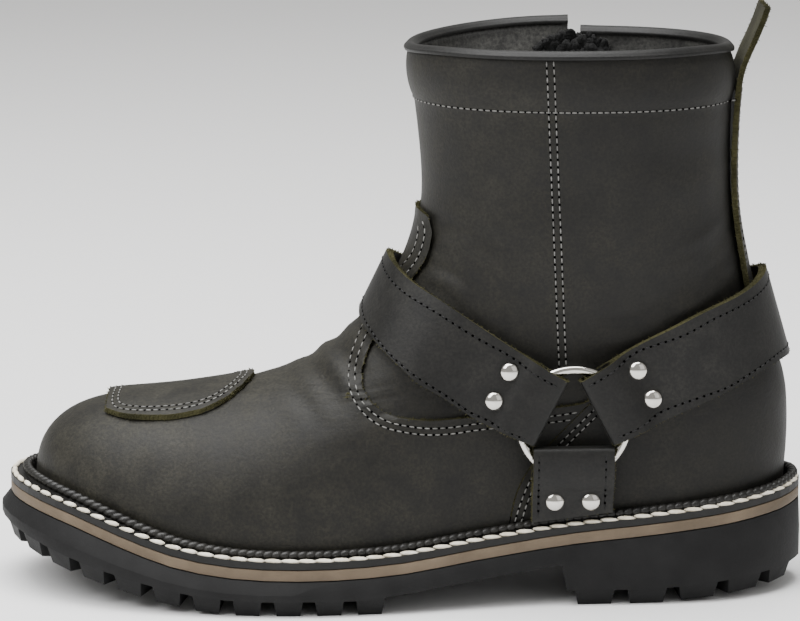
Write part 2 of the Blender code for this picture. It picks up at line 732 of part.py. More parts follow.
def make_counter(look):
    body = shell("counter", turn_steps(1.5, 2 * math.pi - 1.5), grid_rows(7.6), GAP, OVERLAY, look)
    edge = smooth_edge(COUNTER_EDGE)
    top = smooth_edge(((COUNTER_EDGE[0]),) + COUNTER_TOP, 2)
    outline = edge[::-1] + top[1:] + [(top[-1][0], -0.02), (edge[-1][0], -0.02)]
    join(body, prism("counter_cutter", outline, -BALL_WIDTH, BALL_WIDTH), "INTERSECT")
    return body


def make_pad(look):
    body = shell("shift_pad", turn_steps(-1.35, 1.35), grid_rows(6.9)[3:], 2 * GAP + OVERLAY,
                 PAD_THICKNESS, look)
    side = curve_through([(x_of(a), b * BALL_WIDTH) for a, b in PAD_OUTLINE], 12)
    outline = []
    for x, half in side:
        outline.append((float(x), float(ridge_at(x) - half)))
    for x, half in side[-2::-1]:
        outline.append((float(x), float(ridge_at(x) + half)))
    join(body, prism("pad_cutter", outline, 0.0, UPPER_HEIGHT, upright=True), "INTERSECT")
    return body


def make_binding(look):
    # Rolled strip over the rim: offset from the upper's outer face, height over the rim
    outside, inside = GAP + BINDING_WALL, WALL + GAP + BINDING_WALL
    low, roll = -BINDING_DROP, GAP + BINDING_WALL
    section = ((outside, low), (outside + 0.0003, -0.0005), (outside * 0.4, roll * 0.8),
               (-WALL / 2, BINDING_CROWN), (-inside + outside * 0.6, roll * 0.8),
               (-inside - 0.0003, -0.0005), (-inside, low), (-WALL - GAP, low), (-WALL - GAP, GAP),
               (GAP, GAP), (GAP, low))
    turns = np.array(even_turns(AROUND))
    rim = skin(turns, LAST_ROW)
    out = skin_normal(turns, LAST_ROW - 0.01)
    below = skin(turns, LAST_ROW - 0.2)
    rise = (rim - below) / np.linalg.norm(rim - below, axis=1)[:, None]
    loops = [rim + out * offset + rise * height for offset, height in section]
    points = [p for loop in loops for p in loop]
    body = add_object("collar_binding", points, ring_faces(len(loops), AROUND), look)
    join(body, zip_cutter("binding_cutter"), "DIFFERENCE")
    return body


def ribbon(name, stations, thickness, look):
    # Flat strip through stations of (lower edge, upper edge, outward hint, middle or None)
    count = len(stations)
    middle = [(low + high) / 2 if centre is None else centre for low, high, _, centre in stations]
    points = []
    for i, (low, high, hint, _) in enumerate(stations):
        along = middle[min(i + 1, count - 1)] - middle[max(i - 1, 0)]
        normal = np.cross(along, high - low)
        normal *= np.sign(normal @ hint) / np.linalg.norm(normal)
        half = thickness[i] / 2
        points += [low + normal * half, middle[i] + normal * half, high + normal * half,
                   high - normal * half, middle[i] - normal * half, low - normal * half]
    faces = []
    for i in range(count - 1):
        for k in range(6):
            a, b = i * 6 + k, i * 6 + (k + 1) % 6
            faces += [(a, b, b + 6), (a, b + 6, a + 6)]
    last = (count - 1) * 6
    faces += [(0, 5, 4, 1), (1, 4, 3, 2), (last, last + 1, last + 4, last + 5),
              (last + 1, last + 2, last + 3, last + 4)]
    return add_object(name, points, faces, look)


class RingFrame:
    # Plane of a ring: lies over the overlays and over the fullest place of the ankle nearby
    def __init__(self, side):
        turn = RING_TURN if side < 0 else 2 * math.pi - RING_TURN
        base = skin(turn, RING_ROW)
        self.n = skin_normal(turn, RING_ROW)
        self.v = np.array([0.0, 0.0, 1.0]) - self.n * self.n[2]
        self.v /= np.linalg.norm(self.v)
        self.u = np.array([1.0, 0.0, 0.0]) - self.n * self.n[0]
        self.u -= self.v * (self.u @ self.v)
        self.u /= np.linalg.norm(self.u)
        turns, rows = np.meshgrid(np.linspace(1.1, 2.7, 33), np.linspace(0.0, 8.5, 35))
        near = skin(turns if side < 0 else 2 * math.pi - turns, rows) - base
        flat = np.hypot(near @ self.u, near @ self.v)
        proud = float(np.max(np.where(flat < STRAP_FLAT, near @ self.n, 0.0)))
        self.c = base + self.n * (proud + 3 * GAP + OVERLAY + STRAP_END_THICKNESS / 2)

    def at(self, reach, aside, angle, lift=0.0):
        # Point at a distance from the centre along an angle, moved aside from that line
        ahead = self.u * math.cos(angle) + self.v * math.sin(angle)
        across = self.v * abs(math.cos(angle)) - self.u * math.sin(angle) * np.sign(math.cos(angle))
        if abs(math.cos(angle)) < 0.01:
            across = self.u
        return self.c + ahead * reach + across * aside + self.n * lift


STRAP_SEAT = -(STRAP_END_THICKNESS - STRAP_THICKNESS) / 2
# Thick end of a strap: distance from the ring's centre, thickness, lift of its middle
END_STATIONS = (
    (STRAP_FOLD, STRAP_END_THICKNESS * 0.62, 0.0),
    (STRAP_FOLD + 0.0014, STRAP_END_THICKNESS, 0.0),
    (STRAP_GRIP, STRAP_END_THICKNESS, 0.0),
    (STRAP_GRIP + 0.0038, STRAP_THICKNESS, STRAP_SEAT),
    (STRAP_FLAT, STRAP_THICKNESS, STRAP_SEAT),
)


def strap_end(frame, angle, base, peak):
    stations, thickness = [], []
    for reach, depth, lift_by in END_STATIONS:
        gain = STRAP_SPREAD * (reach - STRAP_FOLD) / (STRAP_FLAT - STRAP_FOLD)
        stations.append((frame.at(reach, -base - gain, angle, lift_by),
                         frame.at(reach, peak + gain, angle, lift_by), frame.n, None))
        thickness.append(depth)
    return stations, thickness


def strap_run(table, side, steps):
    # Stretch of a strap that lies on the upper, from the table's first row
    places = np.arange(len(table), dtype=float)
    reads = [table_curve(places, [row[k] for row in table]) for k in range(6)]
    seat = 3 * GAP + OVERLAY + STRAP_THICKNESS / 2
    stations = []
    for place in np.linspace(0.0, len(table) - 1, steps):
        low_turn, low_row, high_turn, high_row, low_off, high_off = (float(read(place)) for read in reads)
        if side > 0:
            low_turn, high_turn = 2 * math.pi - low_turn, 2 * math.pi - high_turn
        low = form(low_turn, low_row, seat + low_off)
        high = form(high_turn, high_row, seat + high_off)
        turn, row = (low_turn + high_turn) / 2, (low_row + high_row) / 2
        normal = skin_normal(turn, row)
        flat = (low + high) / 2
        push = max(float((form(turn, row, seat + low_off * 0.5) - flat) @ normal), 0.0)
        stations.append((low, high, normal, flat + normal * push))
    return stations


def grip_cutter(name, places):
    # Room for the ring's wire inside the folded ends
    depth = STRAP_END_THICKNESS / 2 - STRAP_LAYER
    half = SIDE_STRAP_WIDTH
    near = math.sqrt((RING_RADIUS - RING_WIRE) ** 2 - (half / 2) ** 2) - GAP
    far = RING_RADIUS + RING_WIRE + GAP
    points, faces = [], []
    for frame, angle in places:
        start = len(points)
        corners = ((near, -half), (far, -half), (far, half), (near, half))
        points += [frame.at(a, b, angle, d) for d in (-depth, depth) for a, b in corners]
        block = [(0, 1, 2, 3), (4, 7, 6, 5)] + [(k, k + 4, (k + 1) % 4 + 4, (k + 1) % 4) for k in range(4)]
        faces += [tuple(start + i for i in face) for face in block]
    return add_object(name, points, faces, None)


def make_long_strap(name, table, angle, frames, look):
    # Ring on the outer side, over the foot or the heel, to the ring on the inner side
    start, depth_start = strap_end(frames[-1], angle, STRAP_BASE, STRAP_PEAK)
    end, depth_end = strap_end(frames[1], angle, STRAP_BASE, STRAP_PEAK)
    outer = strap_run(table, -1, 9)
    inner = strap_run(table, 1, 9)
    stations = start + outer[::-1] + inner[1:] + end[::-1]
    depths = depth_start + [STRAP_THICKNESS] * (len(outer) + len(inner) - 1) + depth_end[::-1]
    body = ribbon(name, stations, depths, look)
    join(body, grip_cutter(name + "_cutter", ((frames[-1], angle), (frames[1], angle))), "DIFFERENCE")
    return body


def make_side_strap(name, frame, look):
    # Short strap from the ring down to the welt's bead
    half = SIDE_STRAP_WIDTH / 2
    down = -math.pi / 2
    stations, depths = [], []
    for reach, depth, lift_by in END_STATIONS[:-1]:
        stations.append((frame.at(reach, -half, down, lift_by), frame.at(reach, half, down, lift_by),
                         frame.n, None))
        depths.append(depth)
    foot = []
    for aside in (-half, half):
        top = frame.at(0.0, aside, down, STRAP_SEAT)
        floor = float(bed(top[0])) + WELT_THICKNESS + WELT_BEAD_HEIGHT + 2 * GAP
        foot.append(top - frame.v * (top[2] - floor) / frame.v[2])
    stations.append((foot[0], foot[1], frame.n, None))
    depths.append(STRAP_THICKNESS)
    body = ribbon(name, stations, depths, look)
    join(body, grip_cutter(name + "_cutter", ((frame, down),)), "DIFFERENCE")
    return body


def make_ring(name, frame, look):
    around, wire = 24, 8
    points = []
    for i in range(around):
        angle = 2 * math.pi * i / around
        for k in range(wire):
            turn = 2 * math.pi * k / wire
            reach = RING_RADIUS + RING_WIRE * math.cos(turn)
            points.append(frame.c + frame.u * reach * math.cos(angle) + frame.v * reach * math.sin(angle)
                          + frame.n * RING_WIRE * math.sin(turn))
    return add_object(name, points, ring_faces(around, wire), look)


def make_rivet(name, place, frame, look):
    # Domed cap that stands on a strap's outer face
    sides = 10
    points = []
    for radius, height in ((RIVET_RADIUS, 0.0), (RIVET_RADIUS, RIVET_HEIGHT * 0.3),
                           (RIVET_RADIUS * 0.7, RIVET_HEIGHT * 0.8)):
        for k in range(sides):
            turn = 2 * math.pi * k / sides
            points.append(place + frame.u * radius * math.cos(turn) + frame.v * radius * math.sin(turn)
                          + frame.n * height)
    points += [place, place + frame.n * RIVET_HEIGHT]
    faces = []
    for i in range(2):
        for k in range(sides):
            a, b = i * sides + k, i * sides + (k + 1) % sides
            faces += [(a, b, b + sides), (a, b + sides, a + sides)]
    for k in range(sides):
        nxt = (k + 1) % sides
        faces += [(k, 3 * sides, nxt), (2 * sides + k, 2 * sides + nxt, 3 * sides + 1)]
    return add_object(name, points, faces, look)


def make_rivets(side, frame, look):
    tag = "outer" if side < 0 else "inner"
    rise = math.radians(STRAP_ANGLE)
    lift_by = STRAP_SEAT + STRAP_THICKNESS / 2 + GAP
    number = 0
    for angle, pitch in ((math.pi - rise, RIVET_HALF_PITCH), (rise, RIVET_HALF_PITCH),
                         (-math.pi / 2, RIVET_HALF_PITCH * 1.1)):
        for aside in (-pitch, pitch):
            number += 1
            make_rivet(f"rivet_{tag}_{number}", frame.at(RIVET_REACH, aside, angle, lift_by), frame, look)


def turn_across(row, y):
    # Turn near the back where the upper reaches a given distance from its middle
    turns = math.pi + np.linspace(-0.8, 0.8, 161)
    return float(np.interp(y, skin(turns, row)[:, 1], turns))


def make_backstay(look):
    # Strip up the back of the shaft, free above the shaft's last fastening as a pull tab
    half = BACKSTAY_WIDTH / 2
    seat = BACKSTAY_SEAT + BACKSTAY_THICKNESS / 2
    stations = []
    for row in np.linspace(7.7, 12.6, 8):
        left = form(turn_across(row, -half), row, seat)
        right = form(turn_across(row, half), row, seat)
        middle = form(math.pi, row, seat)
        stations.append((left, right, np.array([1.0, 0.0, 0.0]), middle))
    for along, height in PULL_TAB:
        x, z = side_view(along, height)
        share = (x - stations[7][3][0]) / (x_of(PULL_TAB[-1][0]) - stations[7][3][0])
        bow = (stations[7][3][0] - stations[7][0][0]) * (1 - share)
        stations.append((np.array([x - bow, -half, z]), np.array([x - bow, half, z]),
                         np.array([1.0, 0.0, 0.0]), np.array([x, 0.0, z])))
    return ribbon("backstay", stations, [BACKSTAY_THICKNESS] * len(stations), look)


# Zip

def turn_at_x(row, x):
    # Inner side's turn where a section passes a given x
    front_x, back_x = front_point(row)[0], back_point(row)[0]
    return 2 * math.pi - math.acos(1 - 2 * (x - front_x) / (back_x - front_x))


def zip_cutter(name):
    foot = float(skin(turn_at_x(ZIP_FOOT_ROW, ZIP_X), ZIP_FOOT_ROW)[2])
    near, far = ZIP_X - ZIP_SLOT / 2, ZIP_X + ZIP_SLOT / 2
    outline = ((near, foot), (far, foot), (far, foot + UPPER_HEIGHT), (near, foot + UPPER_HEIGHT))
    return prism(name, outline, SHAFT_BREADTH * 0.25, SHAFT_BREADTH)


def make_zip_chain(look):
    half = ZIP_SLOT / 2 - GAP
    stations = []
    for row in np.linspace(ZIP_FOOT_ROW + 0.05, LAST_ROW - 0.3, 9):
        low = form(turn_at_x(row, ZIP_X - half), row, -WALL / 2)
        high = form(turn_at_x(row, ZIP_X + half), row, -WALL / 2)
        stations.append((low, high, np.array([0.0, 1.0, 0.0]), None))
    return ribbon("zip_chain", stations, [ZIP_CHAIN_THICKNESS] * len(stations), look)


def box_points(centre, axes, size):
    # Corners of a box about a centre, with half sizes along three axes
    a, b, c = (np.array(axis) * half for axis, half in zip(axes, size))
    return [centre + a * i + b * j + c * k for k in (-1, 1) for i, j in ((-1, -1), (1, -1), (1, 1), (-1, 1))]


BOX_FACES = [(0, 1, 2, 3), (4, 7, 6, 5), (0, 4, 5, 1), (1, 5, 6, 2), (2, 6, 7, 3), (3, 7, 4, 0)]


def zip_axis():
    # Middle of the slider's back and the axis of its bail's bar
    turn = turn_at_x(SLIDER_ROW, ZIP_X)
    back = form(turn, SLIDER_ROW, SLIDER_SEAT)
    out = np.array([0.0, 1.0, 0.0])
    bar = back + out * (SLIDER_THICKNESS + PULL_EYE + GAP)
    return back, out, bar


def make_slider(look):
    back, out, bar = zip_axis()
    along, up = np.array([1.0, 0.0, 0.0]), np.array([0.0, 0.0, 1.0])
    axes = (along, up, out)
    centre = back + out * SLIDER_THICKNESS / 2
    body = add_object("zip_slider", box_points(centre, axes, (SLIDER_WIDTH / 2, SLIDER_LENGTH / 2,
                                                              SLIDER_THICKNESS / 2)), BOX_FACES, look, False)
    post_reach = SLIDER_THICKNESS + PULL_EYE + GAP + BAIL_BAR
    points, faces = [], []
    for aside in (-1, 1):
        post = back + out * (post_reach / 2 + 0.0006) + along * aside * 0.0029
        faces += [tuple(i + len(points) for i in face) for face in BOX_FACES]
        points += box_points(post, axes, (0.0006, 0.0011, post_reach / 2))
    join(body, add_object("post_cutter", points, faces, None, False), "UNION")
    rod = [bar + along * aside * 0.0029 + up * BAIL_BAR * math.cos(t) + out * BAIL_BAR * math.sin(t)
           for aside in (-1, 1) for t in even_turns(8)]
    join(body, add_object("bar_cutter", rod, plate_faces(2, 8), None, False), "UNION")
    return body


def make_pull(look):
    # Flat tab with an eye, hanging from the bail's bar; the object's origin is on its hinge axis
    _, _, bar = zip_axis()
    side = [(-PULL_THICKNESS / 2, -PULL_LENGTH)]
    side += [(PULL_EYE * math.cos(t), PULL_EYE * math.sin(t))
             for t in np.radians(np.linspace(202.5, -22.5, 9))]
    side += [(PULL_THICKNESS / 2, -PULL_LENGTH)]
    count = len(side)
    neck = 0.0019
    points = []
    for aside in (-1, 1):
        for y, z in side:
            wide = PULL_WIDTH / 2 if z < -PULL_LENGTH * 0.5 else neck
            points.append((aside * wide, y, z))
    faces = [tuple(range(count)), tuple(range(2 * count - 1, count - 1, -1))]
    faces += [(k, k + count, (k + 1) % count + count, (k + 1) % count) for k in range(count)]
    body = add_object("zip_pull", points, faces, look, False, bar)
    rod = [(aside * PULL_WIDTH, PULL_BORE * math.sin(t), PULL_BORE * math.cos(t))
           for aside in (-1, 1) for t in even_turns(10)]
    join(body, add_object("bore_cutter", rod, plate_faces(2, 10), None, False, bar), "DIFFERENCE")
    return body


def build():
    clear_scene()
    leather = material("oiled leather", (0.052, 0.050, 0.042), 0.55)
    harness = material("harness leather", (0.040, 0.040, 0.040), 0.5)
    rubber = material("black rubber", (0.030, 0.030, 0.032), 0.6)
    midsole = material("brown midsole", (0.24, 0.19, 0.14), 0.6)
    welt = material("black welt", (0.020, 0.019, 0.018), 0.5)
    board = material("insole board", (0.10, 0.09, 0.08), 0.8)
    nickel = material("nickel", (0.72, 0.70, 0.66), 0.2, 1.0)
    teeth = material("zip metal", (0.25, 0.24, 0.22), 0.35, 1.0)
    make_upper(leather)
    make_insole(board)
    make_welt(welt)
    make_midsole(midsole)
    make_outsole(rubber)
    make_vamp(leather)
    make_counter(leather)
    make_pad(leather)
    make_binding(leather)
    make_backstay(leather)
    frames = {side: RingFrame(side) for side in (-1, 1)}
    rise = math.radians(STRAP_ANGLE)
    make_long_strap("instep_strap", INSTEP_STRAP, math.pi - rise, frames, harness)
    make_long_strap("heel_strap", HEEL_STRAP, rise, frames, harness)
    for side, tag in ((-1, "outer"), (1, "inner")):
        make_side_strap(f"side_strap_{tag}", frames[side], harness)
        make_ring(f"ring_{tag}", frames[side], nickel)
        make_rivets(side, frames[side], nickel)
    make_zip_chain(teeth)
    make_slider(teeth)
    make_pull(teeth)


build()
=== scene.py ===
import bpy
import bmesh
import math
import numpy as np
from mathutils import Matrix, Vector, noise
from mathutils.bvhtree import BVHTree


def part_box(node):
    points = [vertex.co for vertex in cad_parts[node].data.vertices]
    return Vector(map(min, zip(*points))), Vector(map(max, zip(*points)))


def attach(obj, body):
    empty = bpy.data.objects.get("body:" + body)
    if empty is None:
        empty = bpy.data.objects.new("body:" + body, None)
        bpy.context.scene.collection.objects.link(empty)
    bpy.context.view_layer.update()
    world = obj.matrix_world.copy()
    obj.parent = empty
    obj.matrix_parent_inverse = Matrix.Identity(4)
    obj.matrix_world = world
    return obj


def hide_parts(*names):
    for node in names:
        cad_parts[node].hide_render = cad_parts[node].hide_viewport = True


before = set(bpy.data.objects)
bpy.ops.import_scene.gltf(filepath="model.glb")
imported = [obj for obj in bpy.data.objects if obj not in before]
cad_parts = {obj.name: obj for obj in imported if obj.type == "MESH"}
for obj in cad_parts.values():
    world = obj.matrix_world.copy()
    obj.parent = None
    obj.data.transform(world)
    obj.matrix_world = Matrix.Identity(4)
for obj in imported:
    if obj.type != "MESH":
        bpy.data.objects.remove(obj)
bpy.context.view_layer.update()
print("frame loaded")

sideShift = 0.00144      # the sole's plan is centred on the origin by this much
soleLength = 0.310
shaftAxis = Vector((0.065, sideShift, 0.0))


# Scene helpers

def deselectAll():
    if bpy.context.object and bpy.context.object.mode != "OBJECT":
        bpy.ops.object.mode_set(mode="OBJECT")
    bpy.ops.object.select_all(action="DESELECT")


def makeActive(piece):
    deselectAll()
    piece.select_set(True)
    bpy.context.view_layer.objects.active = piece


def applyModifiers(piece):
    makeActive(piece)
    for modifier in list(piece.modifiers):
        bpy.ops.object.modifier_apply(modifier=modifier.name)


def smoothByAngle(piece, degrees=35):
    makeActive(piece)
    bpy.ops.object.shade_smooth_by_angle(angle=math.radians(degrees))


def setMaterials(piece, *looks):
    piece.data.materials.clear()
    for look in looks:
        piece.data.materials.append(look)


def copyOfNode(node, name):
    # Merged copy of a CAD node, in quads
    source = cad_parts[node]
    piece = bpy.data.objects.new(name, source.data.copy())
    bpy.context.scene.collection.objects.link(piece)
    makeActive(piece)
    bpy.ops.object.mode_set(mode="EDIT")
    bpy.ops.mesh.customdata_custom_splitnormals_clear()
    bpy.ops.mesh.select_all(action="SELECT")
    bpy.ops.mesh.remove_doubles(threshold=0.00001)
    bpy.ops.mesh.tris_convert_to_quads(face_threshold=math.radians(50), shape_threshold=math.radians(60))
    bpy.ops.object.mode_set(mode="OBJECT")
    return piece


def creaseSharp(piece, degrees):
    work = bmesh.new()
    work.from_mesh(piece.data)
    layer = work.edges.layers.float.get("crease_edge") or work.edges.layers.float.new("crease_edge")
    for edge in work.edges:
        if len(edge.link_faces) == 2 and edge.calc_face_angle(0.0) > math.radians(degrees):
            edge[layer] = 1.0
    work.to_mesh(piece.data)
    work.free()


def subdivided(piece, levels):
    modifier = piece.modifiers.new("smooth", "SUBSURF")
    modifier.levels = levels
    modifier.render_levels = levels
    applyModifiers(piece)


def thinned(piece, share):
    # Fewer triangles on the same form
    modifier = piece.modifiers.new("thin", "DECIMATE")
    modifier.ratio = share
    applyModifiers(piece)


def smoothCopy(node, name, levels, degrees):
    piece = copyOfNode(node, name)
    creaseSharp(piece, degrees)
    subdivided(piece, levels)
    smoothByAngle(piece)
    return piece


def bevelled(piece, width, segments=2, degrees=30):
    modifier = piece.modifiers.new("edge", "BEVEL")
    modifier.width = width
    modifier.segments = segments
    modifier.limit_method = "ANGLE"
    modifier.angle_limit = math.radians(degrees)
    modifier.use_clamp_overlap = True
    applyModifiers(piece)
    return piece


def finishPiece(piece, nodes, body="boot"):
    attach(piece, body)
    if nodes:
        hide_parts(*nodes)


def treeOf(piece):
    work = bmesh.new()
    work.from_mesh(piece.data)
    tree = BVHTree.FromBMesh(work)
    work.free()
    return tree


# The hole sizes are for painted shade: dark spots where needle holes would hold shadow
stitchSizes = {"pitch": 0.0029, "thread": (0.0022, 0.00058, 0.00050), "holeShade": (0.0012, 0.0010, 0.0005),
               "threadLift": 0.0001, "holeShadeLift": -0.00005, "inset": 0.0026, "spacing": 0.0024}


# Curves

def smoothLine(points, spacing):
    # Evenly spaced points on a smooth curve through given ones
    pts = [np.array(p, dtype=float) for p in points]
    fine = []
    for i in range(len(pts) - 1):
        a, b, c, d = (pts[min(max(i + k, 0), len(pts) - 1)] for k in (-1, 0, 1, 2))
        for t in np.linspace(0, 1, 12, endpoint=False):
            fine.append(0.5 * (2 * b + (c - a) * t + (2 * a - 5 * b + 4 * c - d) * t * t
                               + (3 * b - a - 3 * c + d) * t ** 3))
    fine.append(pts[-1])
    return evenly(np.array(fine), spacing)


def evenly(line, spacing):
    run = np.concatenate(([0.0], np.cumsum(np.linalg.norm(np.diff(line, axis=0), axis=1))))
    count = max(2, int(round(run[-1] / spacing)) + 1)
    places = np.linspace(0.0, run[-1], count)
    return np.stack([np.interp(places, run, line[:, k]) for k in range(line.shape[1])], axis=1)


def offsetLine(line, distance):
    # A plane line moved to its right-hand side
    ahead = np.gradient(line, axis=0)
    ahead /= np.linalg.norm(ahead, axis=1)[:, None]
    return line + np.stack([ahead[:, 1], -ahead[:, 0]], axis=1) * distance


# How far out a cast starts, and how far past the middle plane one from the side may land
castSizes = {"side": 0.2, "axis": 0.25, "top": 0.3, "past": 0.012}


def castFromSide(line, side, trees):
    # Side-view line in x and z dropped onto the first surface met from the outer (-1) or inner (1) side
    found = []
    for x, z in line:
        start = Vector((x, side * castSizes["side"], z))
        hits = [tree.ray_cast(start, Vector((0, -side, 0))) for tree in trees]
        hits = [hit for hit in hits if hit[0] is not None and hit[0].y * side > -castSizes["past"]]
        if hits:
            best = min(hits, key=lambda hit: hit[3])
            found.append((best[0], best[1]))
    return found


def castToAxis(line, trees):
    # Line of angle (degrees) and height dropped onto the first surface met on the way to the shaft's axis
    found = []
    for angle, z in line:
        out = Vector((math.cos(math.radians(angle)), math.sin(math.radians(angle)), 0.0))
        start = Vector((shaftAxis.x, shaftAxis.y, z)) + out * castSizes["axis"]
        hits = [tree.ray_cast(start, -out) for tree in trees]
        hits = [hit for hit in hits if hit[0] is not None]
        if hits:
            best = min(hits, key=lambda hit: hit[3])
            found.append((best[0], best[1]))
    return found


def castDown(line, trees):
    # Plan line in x and y dropped onto the first surface below
    found = []
    for x, y in line:
        start = Vector((x, y, castSizes["top"]))
        hits = [tree.ray_cast(start, Vector((0, 0, -1))) for tree in trees]
        hits = [hit for hit in hits if hit[0] is not None]
        if hits:
            best = min(hits, key=lambda hit: hit[3])
            found.append((best[0], best[1]))
    return found


def evenHits(found, pitch):
    # The same line, evenly spaced. The normals go along with a weight too small to change the spacing
    normalWeight = 0.0001
    if len(found) < 3:
        return found
    places = np.array([hit[0][:] for hit in found])
    normals = np.array([hit[1][:] for hit in found])
    both = evenly(np.concatenate((places, normals * normalWeight), axis=1), pitch)
    return [(Vector(row[:3]), Vector(row[3:]).normalized()) for row in both]


def stitchMesh(name, rows, size, look, lift=0.0, twist=0.0):
    # Small rounded stitches along rows of (place, normal), joined in one mesh
    deselectAll()
    bpy.ops.mesh.primitive_uv_sphere_add(segments=8, ring_count=5, radius=0.5)
    seed = bpy.context.object
    shape = np.array([v.co[:] for v in seed.data.vertices]) * np.array(size)
    seedFaces = [tuple(p.vertices) for p in seed.data.polygons]
    bpy.data.objects.remove(seed, do_unlink=True)
    longest, shortest = size[0] * 4, 1e-5      # nothing is sewn across a jump or between two equal places
    points, faces = [], []
    for row in rows:
        for i in range(len(row) - 1):
            (here, n0), (there, n1) = row[i], row[i + 1]
            ahead = there - here
            if ahead.length > longest or ahead.length < shortest:
                continue
            normal = (n0 + n1).normalized()
            ahead = (ahead - normal * ahead.dot(normal)).normalized()
            across = normal.cross(ahead)
            if twist:
                turn = Matrix.Rotation(twist, 3, normal)
                ahead, across = turn @ ahead, turn @ across
            middle = (here + there) / 2 + normal * lift
            base = np.array([ahead, across, normal])
            faces += [tuple(k + len(points) for k in face) for face in seedFaces]
            points += list(shape @ base + np.array(middle))
    mesh = bpy.data.meshes.new(name)
    mesh.from_pydata([tuple(p) for p in points], [], faces)
    mesh.shade_smooth()
    piece = bpy.data.objects.new(name, mesh)
    bpy.context.scene.collection.objects.link(piece)
    mesh.materials.append(look)
    return piece


def betweenOf(row):
    # Places halfway between those of a row
    return [((row[i][0] + row[i + 1][0]) / 2, row[i][1]) for i in range(len(row) - 1)]


def sewn(name, rows, look):
    # Thread and, between two stitches, painted shade for the needle's holes: near-black spots, not cut holes
    thread = stitchMesh(name, rows, stitchSizes["thread"], look, stitchSizes["threadLift"])
    finishPiece(thread, None)
    gaps = [betweenOf(row) for row in rows]
    shadeSpots = stitchMesh(name + "Holes", gaps, stitchSizes["holeShade"], holeShadeLook, stitchSizes["holeShadeLift"])
    finishPiece(shadeSpots, None)


# Materials

def newMaterial(name):
    look = bpy.data.materials.new(name)
    look.use_nodes = True
    tree = look.node_tree
    return look, tree, tree.nodes["Principled BSDF"]


def noiseOf(tree, scale, detail, roughness=0.55, distortion=0.0):
    coords = tree.nodes.new("ShaderNodeTexCoord")
    cloud = tree.nodes.new("ShaderNodeTexNoise")
    cloud.inputs["Scale"].default_value = scale
    cloud.inputs["Detail"].default_value = detail
    cloud.inputs["Roughness"].default_value = roughness
    cloud.inputs["Distortion"].default_value = distortion
    tree.links.new(coords.outputs["Object"], cloud.inputs["Vector"])
    return cloud.outputs["Fac"]


def rampOf(tree, value, stops):
    ramp = tree.nodes.new("ShaderNodeValToRGB")
    while len(ramp.color_ramp.elements) > 1:
        ramp.color_ramp.elements.remove(ramp.color_ramp.elements[0])
    ramp.color_ramp.elements[0].position = stops[0][0]
    ramp.color_ramp.elements[0].color = (*stops[0][1], 1.0)
    for place, color in stops[1:]:
        ramp.color_ramp.elements.new(place).color = (*color, 1.0)
    tree.links.new(value, ramp.inputs["Fac"])
    return ramp.outputs["Color"]


def multiplied(tree, first, second):
    mix = tree.nodes.new("ShaderNodeMix")
    mix.data_type = "RGBA"
    mix.blend_type = "MULTIPLY"
    mix.inputs[0].default_value = 1.0
    tree.links.new(first, mix.inputs[6])
    tree.links.new(second, mix.inputs[7])
    return mix.outputs[2]


def rangeOf(tree, value, low, high, fromLow=0.0, fromHigh=1.0):
    node = tree.nodes.new("ShaderNodeMapRange")
    node.inputs["From Min"].default_value = fromLow
    node.inputs["From Max"].default_value = fromHigh
    node.inputs["To Min"].default_value = low
    node.inputs["To Max"].default_value = high
    tree.links.new(value, node.inputs["Value"])
    return node.outputs["Result"]


def addBump(tree, shader, layers):
    # Layers of (value, distance in metres), the finest last
    previous = None
    for value, distance in layers:
        bump = tree.nodes.new("ShaderNodeBump")
        bump.inputs["Strength"].default_value = 1.0
        bump.inputs["Distance"].default_value = distance
        tree.links.new(value, bump.inputs["Height"])
        if previous:
            tree.links.new(previous, bump.inputs["Normal"])
        previous = bump.outputs["Normal"]
    tree.links.new(previous, shader.inputs["Normal"])


heelShadeSpan = (-0.10, 0.09)      # x where the fade, painted shade darkening towards the heel, starts and ends


def leatherMaterial(name, dark, middle, light, rough, grain, fade=0.0, specular=0.26):
    # Oiled leather: cloudy tone and a fine soft grain. A fade darkens it from the toe to the heel: painted
    # shade, heel darker and toe lighter as the light falls
    look, tree, shader = newMaterial(name)
    clouds = noiseOf(tree, 18.0, 5.0, 0.6, 0.6)
    mottle = noiseOf(tree, 95.0, 6.0, 0.65)
    flecks = noiseOf(tree, 900.0, 3.0, 0.6)
    base = rampOf(tree, clouds, ((0.30, dark), (0.52, middle), (0.74, light)))
    second = rampOf(tree, mottle, ((0.34, (0.60, 0.60, 0.60)), (0.68, (1.42, 1.41, 1.37))))
    third = rampOf(tree, flecks, ((0.36, (0.62, 0.62, 0.62)), (0.66, (1.45, 1.44, 1.38))))
    color = multiplied(tree, multiplied(tree, base, second), third)
    # The fade is painted shade: the colour is multiplied darker towards the heel, lighter at the toe
    if fade:
        place = tree.nodes.new("ShaderNodeSeparateXYZ")
        coords = tree.nodes.new("ShaderNodeTexCoord")
        tree.links.new(coords.outputs["Object"], place.inputs["Vector"])
        along = rangeOf(tree, place.outputs["X"], 0.0, 1.0, *heelShadeSpan)
        heelShade = rampOf(tree, along, ((0.0, (1.0, 1.0, 1.0)), (1.0, (fade, fade, fade))))
        color = multiplied(tree, color, heelShade)
    tree.links.new(color, shader.inputs["Base Color"])
    tree.links.new(rangeOf(tree, mottle, rough - 0.08, rough + 0.12), shader.inputs["Roughness"])
    shader.inputs["Specular IOR Level"].default_value = specular
    shader.inputs["Sheen Weight"].default_value = 0.02
    shader.inputs["Sheen Roughness"].default_value = 0.45
    shader.inputs["Sheen Tint"].default_value = (0.75, 0.74, 0.70, 1.0)
    lines = noiseOf(tree, 260.0, 4.0, 0.6, 1.2)
    addBump(tree, shader, ((lines, grain * 0.8), (flecks, grain)))
    return look


